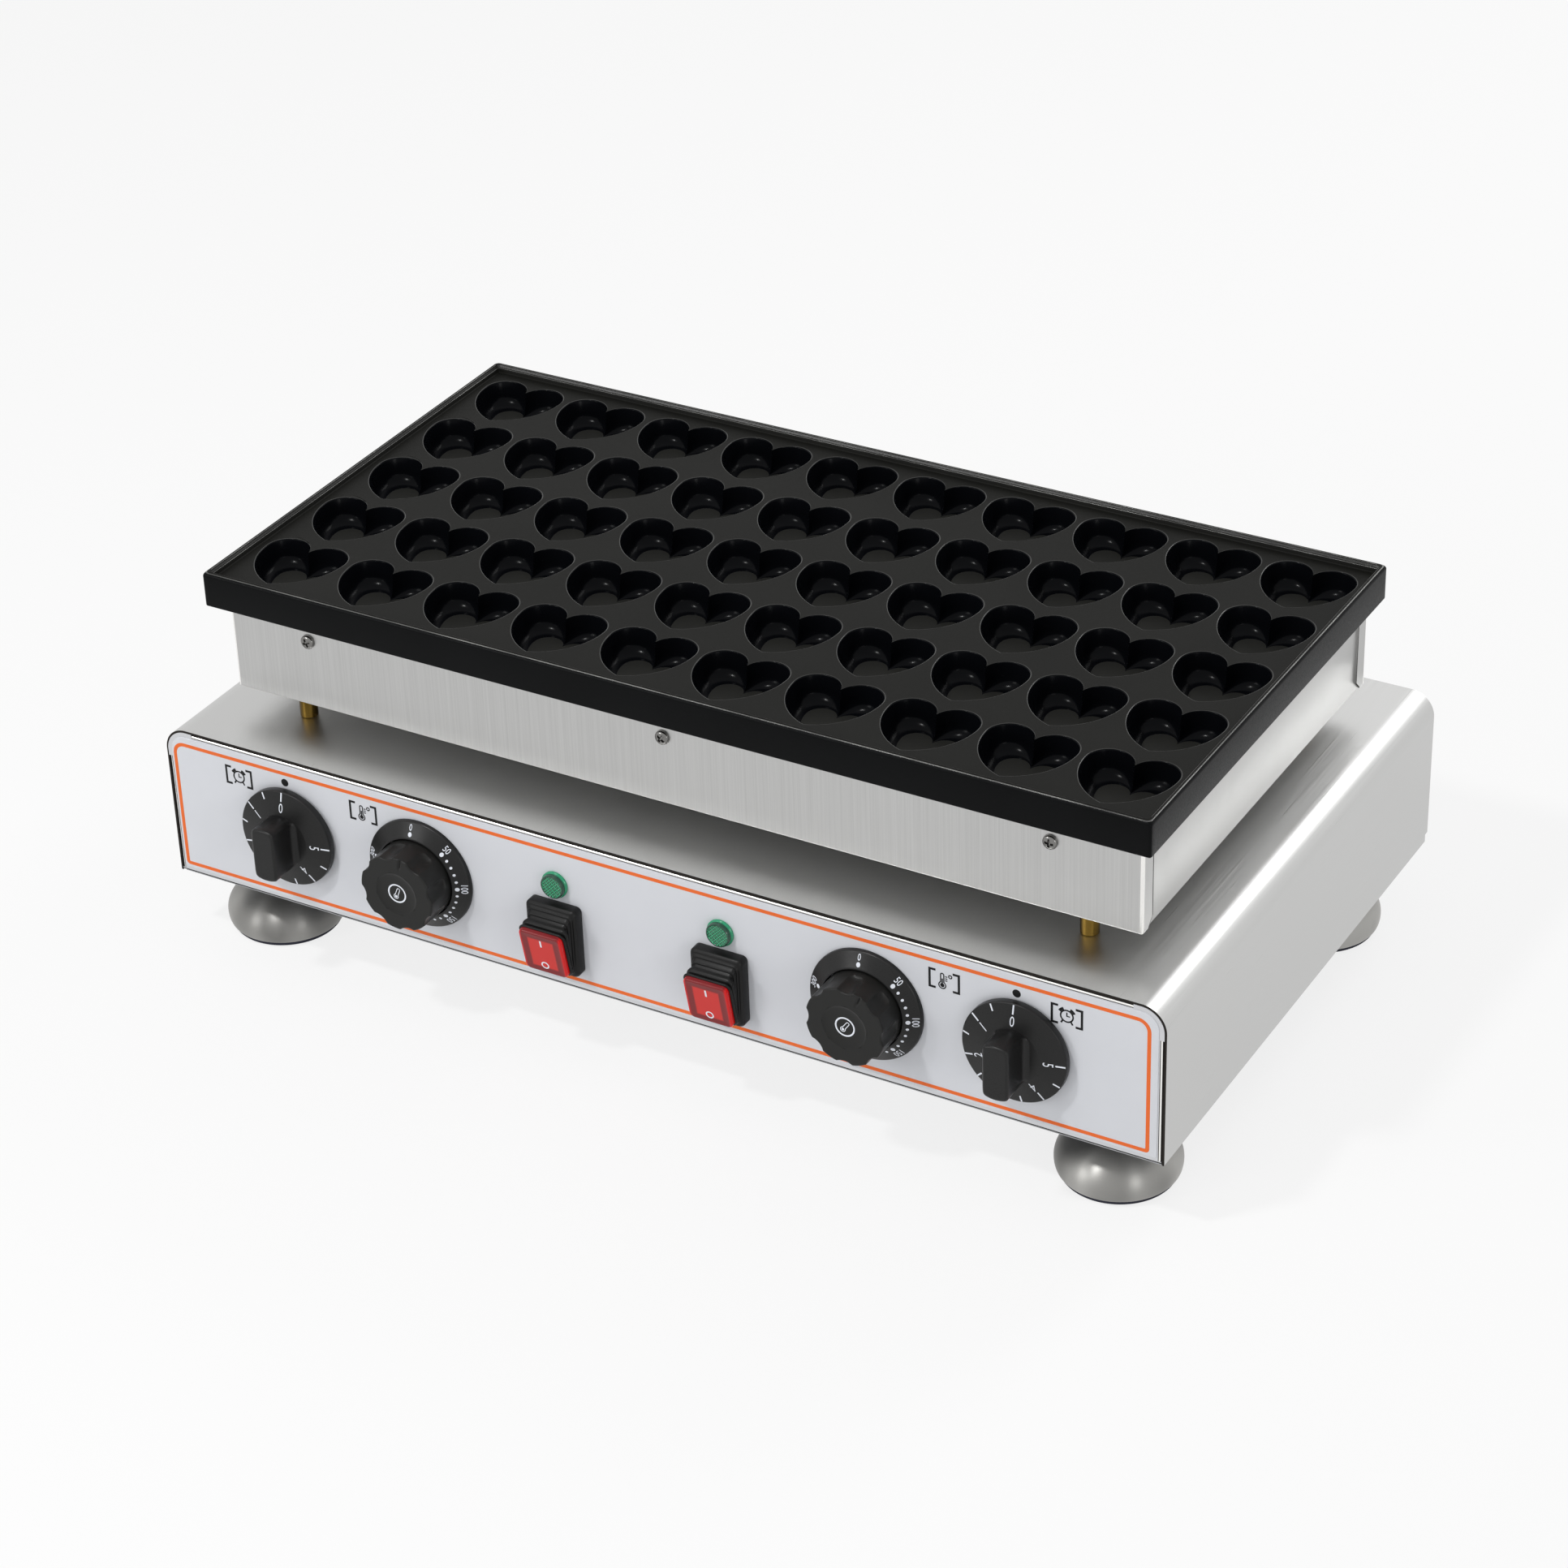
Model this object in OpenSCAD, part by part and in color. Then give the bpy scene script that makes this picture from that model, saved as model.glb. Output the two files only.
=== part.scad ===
// Countertop heart waffle machine: a cast plate of heart cups on a heated casing,
// over a control body on four feet. Millimetres, +Z up,
// the origin under the middle of the whole machine on the table.

/* [Cups] */
// Radius of each of the two lobes of a heart
lobe_r = 12.6; // [10:0.1:14]
// Distance of a lobe centre from the middle of its heart
lobe_x = 12.3; // [9.5:0.1:12.4]
// Depth of a cup below the plate floor
cup_depth = 14.3; // [8:0.1:15]
// Cups from left to right
cup_cols = 10; // [6:2:12]
// Cups from front to back
cup_rows = 5; // [3:2:5]
// Flat land between two cups in a row
land_x = 4.95; // [4:0.05:9]
// Flat land between two rows of cups
land_y = 6.55; // [4:0.05:9]

/* [Plate] */
// Plate beyond the outer cells, left and right
plate_edge_x = 5.9; // [3:0.1:12]
// Plate beyond the outer cells, front and back
plate_edge_y = 8.97; // [5:0.01:14]
// Distance of the middle of the cups behind that of the plate
cups_back = 0.95; // [-2:0.05:2]
// Height of the plate above the casing
rim_h = 20.2; // [18:0.1:26]
// Depth of the plate floor below its lip
floor_drop = 4.6; // [4.2:0.1:6]
// Flat top of the lip
lip_w = 2.5; // [1.5:0.1:4]
// Run of the slope inside the lip
lip_slope = 2; // [1:0.1:4]
// Corner radius of the plate
plate_corner_r = 1.5; // [1:0.5:12]
// How far the cast block reaches down into the casing
block_drop = 3.2; // [2:0.1:6]
// Width of a lug that takes a casing screw
lug_w = 18; // [12:1:24]
// Depth of a lug
lug_d = 14; // [11:1:18]

/* [Casing] */
// Height of the heater casing
casing_h = 52.3; // [45:0.1:80]
// Sheet thickness of the casing
casing_t = 1; // [0.8:0.1:1.5]
// Plate overhang over the casing at each side
overhang_side = 8.45; // [3:0.05:12]
// Plate overhang over the front of the casing
overhang_front = 10.45; // [3:0.05:14]
// Plate overhang over the back of the casing
overhang_back = 3.55; // [3:0.05:14]
// Flange of the front and back pans round the side sheets
casing_flange = 11.5; // [8:0.5:20]
// Outer bend radius of the pans
casing_bend_r = 1.6; // [1.4:0.1:4]
// Cut corner at the foot of each flange
flange_chamfer = 5; // [2:0.5:7]
// Distance of the outer casing screws from the middle one
casing_screw_x = 221; // [60:1:230]
// Distance of the casing screws below the plate rim
casing_screw_drop = 12.7; // [9:0.1:14]
// Thickness of the insulation board
board_t = 8; // [5:1:12]

/* [Heating] */
// Diameter of the heating tube
element_d = 8; // [6:0.5:9]
// Room between the ends of the clamp bars and the lugs of the plate
bar_room = 7.6; // [4:0.1:18]
// Distance of the inner bend from the middle of the plate
turn_in = 45; // [40:1:50]
// Distance of the outer bends from the middle of the plate
turn_out = 225; // [120:1:226]
// Distance of the tube ends from the middle of the plate
element_end = 30; // [24:1:40]
// Width of a clamp bar
bar_w = 16; // [12:1:20]
// Thickness of a clamp bar
bar_t = 3; // [2:0.5:5]
// Diameter of a thermostat bulb
bulb_d = 6; // [4:0.5:7]
// Length of a thermostat bulb
bulb_len = 85; // [70:1:90]
// Diameter of a capillary
capillary_d = 2; // [1.5:0.1:3]

/* [Body] */
// Height of the control body
body_h = 92.5; // [90:0.5:120]
// Sheet thickness of the body
shell_t = 1.2; // [1:0.1:2]
// Deck left free at each side of the casing
deck_side = 28.8; // [20:0.1:50]
// Deck left free in front of the casing
deck_front = 32.25; // [20:0.05:60]
// Deck left free behind the casing
deck_back = 32.25; // [20:0.05:60]
// Outer bend radius of the two top edges
shell_bend_r = 14; // [8:0.5:18]
// Bend radius of the front and rear panels
panel_bend_r = 2.2; // [2.1:0.1:4]
// Distance of the front and rear edges of the shell behind the panel faces
shell_set = 0.3; // [0.2:0.1:2]
// Return flange of the panels and the shell
return_flange = 12; // [10:0.5:16]
// Thickness of the bottom cover
cover_t = 1; // [0.8:0.1:2]
// Distance of the bottom cover from the edges of the body
cover_inset = 2; // [1:0.5:4]
// Air gap between the deck and the casing
standoff_gap = 16.5; // [10:0.5:30]
// Thickness of the printed overlay
overlay_t = 0.4; // [0.2:0.1:0.8]
// Distance of the overlay from the edges of the body
overlay_margin = 4; // [3.5:0.5:5]

/* [Controls] */
// Height of the knob axes above the bottom of the body
control_z = 46.3; // [44:0.1:52]
// Distance of each thermostat from the middle
thermostat_x = 135; // [120:1:145]
// Distance of each timer from its thermostat
timer_step = 85; // [77:1:91]
// Distance of each switch and lamp from the middle
switch_x = 50; // [40:1:75]
// Height of the lamps above the bottom of the body
lamp_z = 63.5; // [62:0.1:75]
// Height of the switches above the bottom of the body
switch_z = 32.85; // [28:0.05:34]
// Diameter of a control shaft
shaft_d = 6; // [4:0.5:6.5]
// Diameter of a threaded bushing
bushing_d = 9.6; // [9:0.1:11]
// Diameter of a timer dial
dial_d = 58; // [50:0.5:60]
// Distance of the dial edge from the panel face
dial_out = 5.5; // [5.2:0.1:8]
// Distance of the dial hub from the panel face
hub_out = 8.4; // [8:0.1:12]
// Diameter of the dial hub
hub_d = 30.6; // [26:0.1:34]
// Width of the grip bar
grip_w = 14.4; // [10:0.1:18]
// Distance of the front of the grip from the panel face
knob_out = 26.5; // [25.5:0.1:32]
// Diameter of a thermostat bezel
bezel_d = 64.4; // [60:0.1:70]
// Thickness of the bezel at its outer edge
bezel_edge = 2.8; // [1.5:0.1:5]
// Distance of the inner edge of the bezel from the panel face
bezel_out = 7.4; // [6.5:0.1:10]
// Diameter of a thermostat knob
stat_knob_d = 45; // [38:0.5:50]
// Distance of the front of the thermostat knob from the panel face
stat_knob_out = 25; // [20:0.5:32]
// Flutes on a thermostat knob
flutes = 8; // [5:1:10]
// Turn of the left thermostat knob at rest, clockwise
stat_rest_left = 10; // [-4:1:60]
// Turn of the right thermostat knob at rest, clockwise
stat_rest_right = 24; // [-4:1:60]

/* [Switches and lamps] */
// Width of a rubber boot
boot_w = 30.9; // [30:0.1:34]
// Height of a rubber boot
boot_h = 41; // [40:0.1:46]
// Distance of the front of the boot base from the panel face
boot_out = 7.4; // [7:0.1:9]
// Distance of the sides of a rocker inside those of its switch body
rocker_side = 0.5; // [0.3:0.1:2]
// Height of a rocker
rocker_h = 28; // [24:0.5:28]
// Thickness of a rocker cap
rocker_t = 4; // [3:0.5:5]
// Distance of a rocker face from its pivot
rocker_reach = 18; // [17.5:0.5:21]
// Tilt of a rocker to either side
rocker_tilt = 12; // [8:1:13]
// Diameter of a lamp lens
lens_d = 13.9; // [11:0.1:15]
// Distance of the front of the lens from the panel face
lens_out = 4.5; // [3.5:0.1:8]

/* [Feet] */
// Largest diameter of a foot
foot_d = 66.2; // [50:0.1:67]
// Height of a steel foot
foot_h = 37; // [32:0.5:60]
// Thickness of a rubber pad below its foot
pad_h = 2.5; // [1.5:0.5:6]
// Wall of a steel foot
foot_wall = 1.5; // [1:0.1:2.5]
// Distance of each foot from the middle
foot_x = 258; // [200:1:262]
// Distance of the front feet behind the front panel
foot_front = 37; // [35:1:60]
// Distance of the rear feet before the rear panel
foot_back = 47; // [35:1:60]

/* [Rear] */
// Length of the cable gland behind the rear panel
gland_out = 22; // [18:0.5:32]
// Bore of the cable gland
gland_bore = 8; // [6:0.5:9]
// Distance of the gland from the middle
gland_x = 200; // [150:1:240]
// Height of the gland above the bottom of the body
gland_z = 25; // [20:1:60]

/* [Hidden] */

$fn = 64;
// one overrun for all cuts
over = 1;
// clearance of still pieces, of shafts in their bores, and of pieces that move past others
fit_gap = 0.2;
shaft_gap = 0.05;
move_gap = 0.6;
// smallest hole wall clearance round a screw shank
screw_gap = 0.1;

// hearts: the tip is where two circles about the far lobes cross
heart_w = 2 * (lobe_x + lobe_r);
side_r = 2 * lobe_x + lobe_r;
tip_y = sqrt(side_r * side_r - lobe_x * lobe_x);
heart_h = lobe_r + tip_y;
heart_mid = (tip_y - lobe_r) / 2;
pitch_x = heart_w + land_x;
pitch_y = heart_h + land_y;
// each step of a cup: share of the depth, and share of the outline
cup_depth_shares = [0.62, 0.86, 1];
cup_outline_shares = [0.98, 0.87, 0.66];

// plan sizes, from the cups outwards
plate_w = cup_cols * pitch_x + 2 * plate_edge_x;
plate_d = cup_rows * pitch_y + 2 * plate_edge_y;
casing_w = plate_w - 2 * overhang_side;
casing_d = plate_d - overhang_front - overhang_back;
body_w = casing_w + 2 * deck_side;
body_d = casing_d + deck_front + deck_back;
y_front = (knob_out - gland_out - body_d) / 2;
y_back = y_front + body_d;
casing_y0 = y_front + deck_front;
casing_y1 = casing_y0 + casing_d;
plate_y = casing_y0 - overhang_front + plate_d / 2;
cups_y = plate_y + cups_back;

// heights, from the table up
z_body = pad_h + foot_h + cover_t;
z_deck = z_body + body_h;
z_case = z_deck + standoff_gap;
z_rim = z_case + casing_h;
z_top = z_rim + rim_h;
z_floor = z_top - floor_drop;
z_under = z_rim - block_drop;
z_axis = z_body + control_z;
z_switch = z_body + switch_z;
z_lamp = z_body + lamp_z;

// screws and nuts
pan_head_d = 8;
pan_head_h = 2.4;
pan_shank_d = 4;
cross_w = 1;
cross_share = 0.6;
cross_depth = 1.1;
casing_screw_len = 11;
bolt_head_d = 9;
bolt_head_h = 3;
bolt_d = 5;
bolt_grip = 8;

// heating tubes, their bars, the bulbs and their saddles
element_r = element_d / 2;
z_element = z_under - fit_gap - element_r;
z_bar = z_element - element_r - fit_gap;
// the bars fit between the lugs, and the runs of the tubes under them lie whole millimetres apart
run_pitch = floor((casing_d - 2 * (casing_t + lug_d + bar_room + element_d) - bar_w) / 3);
bar_len = run_pitch * 3 + 2 * element_d + bar_w;
bar_columns = [1, 4];
bar_rows_share = 1.5;
pin_d = 3;
pin_len = 9;
bulb_r = bulb_d / 2;
bulb_start = 150;
z_bulb = z_under - fit_gap - bulb_r;
capillary_r = capillary_d / 2;
capillary_bend = 6;
clip_len = 10;
clip_wall = 3;
clip_floor = 2;
clip_places_share = [0.2, 0.55];

// conduits and standoffs
conduit_d = 18;
conduit_bore = 13;
conduit_collar_d = 26;
conduit_below = 9;
conduit_above = 3;
stud_d = 6;
stud_inset_x = 35.2;
stud_inset_y = 14;
stud_spare = 3;
stud_nut_af = 10;
stud_nut_h = 5;
sleeve_d = 10;
knurl_d = 15;
knurl_h = 4.5;
board_gap = 1;

// body sheets
profile_top_gap = 4;
notch_h = 5;
notch_d = 3;
cover_screw_d = 3.8;
cover_screw_head_d = 7.2;
cover_screw_head_h = 1.8;
cover_screw_len = 8;
cover_screws_x = 150;
cover_screws_y = 75;
strip_gap = 2;
side_strip_low = 14;
overlay_corner_r = 9;

// controls: distances forward of the panel face are named out
timer_x = thermostat_x + timer_step;
knob_back_out = overlay_t + 1;
nut_h = 2.5;
nut_af = 14;
bushing_out = overlay_t + nut_h + 1;
recess_d = 24;
recess_out = bushing_out + move_gap;
shaft_out = 19.7;
shaft_back = 12;
bore_spare = 0.5;
timer_body_d = 48;
timer_body_deep = 34;
stat_body_w = 42;
stat_body_deep = 36;
fillet_out = 3.5;
grip_d = 32.2;
stat_gap = 0.7;
flute_r = 9;
flute_depth = 1.6;
flute_start = 11;
dish_d = 24.7;
dish_depth = 0.9;
pointer_w = 2.4;
pointer_len = 6;
pointer_depth = 1;

// switches: the pivot lies just behind the panel face, and the sleeve of a boot clears its tilted corner
pivot_back = 1;
pin_r = 1.5;
switch_wall = 3.5;
switch_body_w = 27;
rocker_w = switch_body_w - 2 * rocker_side;
switch_body_h = 37;
switch_body_deep = 32;
collar_out = 5;
cavity_back = 22;
cavity_wall = 3;
stem_w = 16;
stem_h = 12;
tail_h = 4;
tail_back = 10;
stem_back = 3;
boot_corner_r = 3;
fold_w = 27.7;
fold_h = 27.2;
fold_t = 1.8;
sleeve_w = 23.5;
sleeve_open = 19;
boot_gap = 0.3;
boot_chamfer = 1.2;
sleeve_start = (collar_out + pivot_back + fit_gap + sleeve_w / 2 * sin(rocker_tilt)) / cos(rocker_tilt);

// lamps
lens_flange_d = 15.5;
lens_flange_out = 2;
lamp_neck_d = 10;
lamp_back = 22;
lamp_nut_d = 16;
lamp_nut_h = 3;

// feet
ring_h = 4.5;
foot_base_in = 1.7;
neck_r = 16;
neck_h = 6;
neck_top_r = 12.5;
dome_steps = 10;
foot_bolt_d = 8;
foot_bolt_head_d = 13;
foot_bolt_head_h = 5;
foot_nut_af = 13;
foot_nut_h = 6.5;
foot_bolt_spare = 2;
pad_in = 1;
pad_spigot_h = 3;

// rear and mains pieces
gland_hex_af = 22;
gland_hex_h = 6;
gland_cap_d = 19;
gland_cone_h = 6;
gland_tip_d = 13;
gland_thread_d = 16;
gland_thread_len = 12;
gland_nut_af = 22;
gland_nut_h = 4;
block_w = 42;
block_d = 22;
block_h = 16;
block_base_h = 4;
block_from_back = 75;
block_ways = 3;
block_way_share = 0.8;
block_bore = 5;
earth_x = 150;
earth_from_back = 42;
earth_d = 5;
earth_len = 14;
earth_af = 8;
earth_nut_h = 4;
earth_base_d = 12;
earth_base_h = 2;

// rectangle with round corners about its middle
module round_rect(w, d, r) {
    square([w - 2 * r, d], center = true);
    square([w, d - 2 * r], center = true);
    for (sx = [-1, 1], sy = [-1, 1])
        translate([sx * (w / 2 - r), sy * (d / 2 - r)]) circle(r);
}

// hexagon prism by its width across flats
module hex(across, h) {
    cylinder(h = h, d = across / cos(30), $fn = 6);
}

// screw with a round pan head and a crossed slot, pointing down from z = 0
module pan_screw(head_d, head_h, shank_d, len) {
    difference() {
        cylinder(h = head_h, d = head_d);
        for (turn = [0, 90])
            rotate([0, 0, turn])
                translate([-head_d * cross_share / 2, -cross_w / 2, head_h - cross_depth])
                    cube([head_d * cross_share, cross_w, cross_depth + over]);
    }
    translate([0, 0, -len]) cylinder(h = len, d = shank_d);
}

// places a child so that its z axis points forward out of the panel face
module on_panel(x, z) {
    translate([x, y_front, z]) rotate([90, 0, 0]) children();
}

// a straight tube along X, from x0 to x1
module tube_x(x0, x1, r) {
    translate([x0, 0, 0]) rotate([0, 90, 0]) cylinder(h = x1 - x0, r = r);
}

// plan of one heart, its lobes at y = 0 and its tip towards -Y
module heart() {
    for (s = [-1, 1]) translate([s * lobe_x, 0]) circle(lobe_r);
    intersection() {
        translate([-lobe_x, 0]) circle(side_r);
        translate([lobe_x, 0]) circle(side_r);
        translate([-heart_w / 2, -tip_y]) square([heart_w, tip_y]);
    }
}

// the hollow of one cup, stepped in towards its flat bottom
module cup_hollow() {
    for (i = [0 : len(cup_depth_shares) - 1]) {
        low = cup_depth * cup_depth_shares[i];
        translate([0, 0, -low])
            linear_extrude(low + over)
                scale(cup_outline_shares[i])
                    translate([0, heart_mid]) heart();
    }
}

module at_cups() {
    for (col = [0 : cup_cols - 1], row = [0 : cup_rows - 1])
        translate([(col - (cup_cols - 1) / 2) * pitch_x, cups_y + (row - (cup_rows - 1) / 2) * pitch_y, z_floor])
            children();
}

module at_clamp_bolts() {
    for (s = [-1, 1], column = bar_columns, t = [-1, 1])
        translate([s * column * pitch_x, plate_y + t * bar_rows_share * pitch_y, 0]) children();
}

module at_casing_screws() {
    for (x = [-casing_screw_x, 0, casing_screw_x]) {
        translate([x, casing_y0, z_rim - casing_screw_drop]) rotate([90, 0, 0]) children();
        translate([x, casing_y1, z_rim - casing_screw_drop]) rotate([-90, 0, 0]) children();
    }
}

module at_studs() {
    for (s = [-1, 1], y = [casing_y0 + stud_inset_y, casing_y1 - stud_inset_y])
        translate([s * (casing_w / 2 - stud_inset_x), y, 0]) children();
}

module at_conduits() {
    for (s = [-1, 1]) translate([s * thermostat_x, plate_y, 0]) children();
}

module at_feet() {
    for (s = [-1, 1], y = [y_front + foot_front, y_back - foot_back])
        translate([s * foot_x, y, 0]) children();
}

module at_cover_screws() {
    side_x = body_w / 2 - shell_t - return_flange / 2;
    for (x = [-cover_screws_x, 0, cover_screws_x], y = [y_front + return_flange / 2, y_back - return_flange / 2])
        translate([x, y, z_body]) children();
    for (s = [-1, 1], t = [-1, 0, 1])
        translate([s * side_x, (y_front + y_back) / 2 + t * cover_screws_y, z_body]) children();
}

// Plate and casing

module baking_plate() {
    lug_h = casing_screw_drop + pan_head_d;
    color([0.21, 0.21, 0.2]) difference() {
        union() {
            translate([0, plate_y, z_rim]) linear_extrude(rim_h) round_rect(plate_w, plate_d, plate_corner_r);
            translate([-casing_w / 2 + 2 * casing_t + board_gap, casing_y0 + casing_t, z_under])
                cube([casing_w - 4 * casing_t - 2 * board_gap, casing_d - 2 * casing_t, block_drop]);
            for (x = [-casing_screw_x, 0, casing_screw_x], y = [casing_y0 + casing_t, casing_y1 - casing_t - lug_d])
                translate([x - lug_w / 2, y, z_rim - lug_h]) cube([lug_w, lug_d, lug_h]);
        }
        translate([0, plate_y, z_floor])
            linear_extrude(floor_drop + over)
                square([plate_w - 2 * (lip_w + lip_slope), plate_d - 2 * (lip_w + lip_slope)], center = true);
        translate([0, plate_y, z_top - floor_drop / 2])
            linear_extrude(floor_drop / 2 + over)
                square([plate_w - 2 * lip_w - lip_slope, plate_d - 2 * lip_w - lip_slope], center = true);
        at_cups() cup_hollow();
        at_clamp_bolts() translate([0, 0, z_under - over])
            cylinder(h = bolt_grip + 2 * over, d = bolt_d + screw_gap);
        at_casing_screws() translate([0, 0, -casing_screw_len - over])
            cylinder(h = casing_screw_len + 2 * over, d = pan_shank_d + screw_gap);
    }
}

// front or back pan: the face with its bends and the two flanges round the side sheets
module casing_pan(front) {
    y_cut = front ? casing_y0 + casing_flange : casing_y1 - casing_flange;
    color("silver") difference() {
        translate([0, 0, z_case]) linear_extrude(casing_h) intersection() {
            translate([0, (casing_y0 + casing_y1) / 2]) difference() {
                round_rect(casing_w, casing_d, casing_bend_r);
                round_rect(casing_w - 2 * casing_t, casing_d - 2 * casing_t, casing_bend_r - casing_t);
            }
            translate([-casing_w / 2 - over, front ? casing_y0 - over : y_cut])
                square([casing_w + 2 * over, casing_flange + over]);
        }
        for (s = [-1, 1])
            translate([s * casing_w / 2, y_cut, z_case])
                rotate([45, 0, 0])
                    cube([4 * casing_t, flange_chamfer * sqrt(2), flange_chamfer * sqrt(2)], center = true);
        at_casing_screws() translate([0, 0, -2 * casing_t])
            cylinder(h = 3 * casing_t, d = pan_shank_d + 2 * fit_gap);
    }
}

module casing_front() {
    casing_pan(true);
}

module casing_rear() {
    casing_pan(false);
}

module casing_side(s) {
    color("silver")
        translate([s * (casing_w / 2 - 1.5 * casing_t) - casing_t / 2, casing_y0 + casing_bend_r, z_case])
            cube([casing_t, casing_d - 2 * casing_bend_r, casing_h]);
}

module casing_left() {
    casing_side(-1);
}

module casing_right() {
    casing_side(1);
}

module casing_base() {
    color("gainsboro") difference() {
        translate([0, (casing_y0 + casing_y1) / 2, z_case])
            linear_extrude(casing_t) round_rect(casing_w - 4 * casing_t, casing_d - 2 * casing_t, casing_bend_r);
        at_conduits() translate([0, 0, z_case - over])
            cylinder(h = casing_t + 2 * over, d = conduit_d + 2 * fit_gap);
        at_studs() translate([0, 0, z_case - over]) cylinder(h = casing_t + 2 * over, d = stud_d + 2 * fit_gap);
    }
}

module casing_screws() {
    color("lightgray") at_casing_screws() pan_screw(pan_head_d, pan_head_h, pan_shank_d, casing_screw_len);
}

module insulation_board() {
    board_w = casing_w - 4 * casing_t - 2 * board_gap;
    board_d = casing_d - 2 * casing_t - 2 * board_gap;
    color("wheat") difference() {
        translate([-board_w / 2, casing_y0 + casing_t + board_gap, z_case + casing_t])
            cube([board_w, board_d, board_t]);
        at_conduits() translate([0, 0, z_case])
            cylinder(h = board_t + casing_t + over, d = conduit_d + 2 * fit_gap);
        at_studs() translate([0, 0, z_case])
            cylinder(h = board_t + casing_t + over, d = stud_nut_af / cos(30) + 2 * move_gap);
    }
}

// Heating

// half of the plate: four runs joined by three bends, its two ends towards the middle
module heating_tube() {
    turn_r = run_pitch / 2;
    translate([0, plate_y, z_element]) {
        for (t = [-1, 1]) {
            translate([0, t * turn_r, 0]) tube_x(turn_in, turn_out, element_r);
            translate([0, t * (turn_r + run_pitch), 0]) {
                tube_x(element_end, turn_out, element_r);
                tube_x(element_end - pin_len, element_end, pin_d / 2);
            }
            translate([turn_out, t * run_pitch, 0]) rotate([0, 0, -90])
                rotate_extrude(angle = 180) translate([turn_r, 0]) circle(element_r);
        }
        translate([turn_in, 0, 0]) rotate([0, 0, 90])
            rotate_extrude(angle = 180) translate([turn_r, 0]) circle(element_r);
    }
}

module element_left() {
    color("slategray") mirror([1, 0, 0]) heating_tube();
}

module element_right() {
    color("slategray") heating_tube();
}

module element_clamps() {
    color("darkgray") difference() {
        for (s = [-1, 1], column = bar_columns)
            translate([s * column * pitch_x - bar_w / 2, plate_y - bar_len / 2, z_bar - bar_t])
                cube([bar_w, bar_len, bar_t]);
        at_clamp_bolts() translate([0, 0, z_bar - bar_t - over])
            cylinder(h = bar_t + 2 * over, d = bolt_d + 2 * fit_gap);
    }
}

module clamp_screws() {
    grip = bar_t + (z_under - z_bar) + bolt_grip;
    color("lightgray") at_clamp_bolts() translate([0, 0, z_bar - bar_t]) mirror([0, 0, 1])
        pan_screw(bolt_head_d, bolt_head_h, bolt_d, grip);
}

// bulb under the plate, and its capillary down the conduit to the thermostat
module sensor() {
    drop = z_bulb - z_axis - 2 * capillary_bend;
    y_stat = y_front + shell_t + stat_body_deep;
    translate([0, plate_y, z_bulb]) {
        tube_x(bulb_start, bulb_start + bulb_len, bulb_r);
        tube_x(thermostat_x + capillary_bend, bulb_start, capillary_r);
        translate([thermostat_x + capillary_bend, 0, -capillary_bend])
            rotate([90, 0, 0]) rotate([0, 0, 90])
                rotate_extrude(angle = 90) translate([capillary_bend, 0]) circle(capillary_r);
    }
    translate([thermostat_x, plate_y, z_axis + capillary_bend]) {
        cylinder(h = drop, r = capillary_r);
        translate([0, -capillary_bend, 0])
            rotate([90, 0, 90]) rotate([0, 0, -90])
                rotate_extrude(angle = 90) translate([capillary_bend, 0]) circle(capillary_r);
    }
    translate([thermostat_x, y_stat, z_axis])
        rotate([-90, 0, 0]) cylinder(h = plate_y - capillary_bend - y_stat, r = capillary_r);
}

module sensor_left() {
    color("goldenrod") mirror([1, 0, 0]) sensor();
}

module sensor_right() {
    color("goldenrod") sensor();
}

module sensor_clips() {
    clip_w = bulb_d + 2 * fit_gap + 2 * clip_wall;
    clip_h = bulb_d + 2 * fit_gap + clip_floor;
    color("darkgray") for (s = [-1, 1], share = clip_places_share)
        translate([s * (bulb_start + share * bulb_len) - clip_len / 2, plate_y, z_under])
            difference() {
                translate([0, -clip_w / 2, -clip_h]) cube([clip_len, clip_w, clip_h]);
                translate([0, 0, z_bulb - z_under]) tube_x(-over, clip_len + over, bulb_r + fit_gap);
                translate([-over, -bulb_r - fit_gap, z_bulb - z_under])
                    cube([clip_len + 2 * over, bulb_d + 2 * fit_gap, clip_h]);
            }
}

module wire_conduits() {
    low = z_deck - conduit_below;
    high = z_case + casing_t + board_t + conduit_above;
    color("gray") at_conduits() difference() {
        union() {
            translate([0, 0, low]) cylinder(h = high - low, d = conduit_d);
            translate([0, 0, z_deck]) cylinder(h = standoff_gap, d = conduit_collar_d);
        }
        translate([0, 0, low - over]) cylinder(h = high - low + 2 * over, d = conduit_bore);
    }
}

module standoff_studs() {
    low = z_deck - shell_t - stud_nut_h - stud_spare;
    high = z_case + casing_t + stud_nut_h + stud_spare;
    color("lightgray") at_studs() translate([0, 0, low]) cylinder(h = high - low, d = stud_d);
}

module standoff_sleeves() {
    color("goldenrod") at_studs() difference() {
        union() {
            translate([0, 0, z_deck]) cylinder(h = standoff_gap, d = sleeve_d);
            translate([0, 0, z_case - knurl_h]) cylinder(h = knurl_h, d = knurl_d);
        }
        translate([0, 0, z_deck - over]) cylinder(h = standoff_gap + 2 * over, d = stud_d + fit_gap);
    }
}

module standoff_nuts() {
    color("lightgray") at_studs() for (z = [z_deck - shell_t - stud_nut_h, z_case + casing_t])
        translate([0, 0, z]) difference() {
            hex(stud_nut_af, stud_nut_h);
            translate([0, 0, -over]) cylinder(h = stud_nut_h + 2 * over, d = stud_d + screw_gap);
        }
}

// Body

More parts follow.
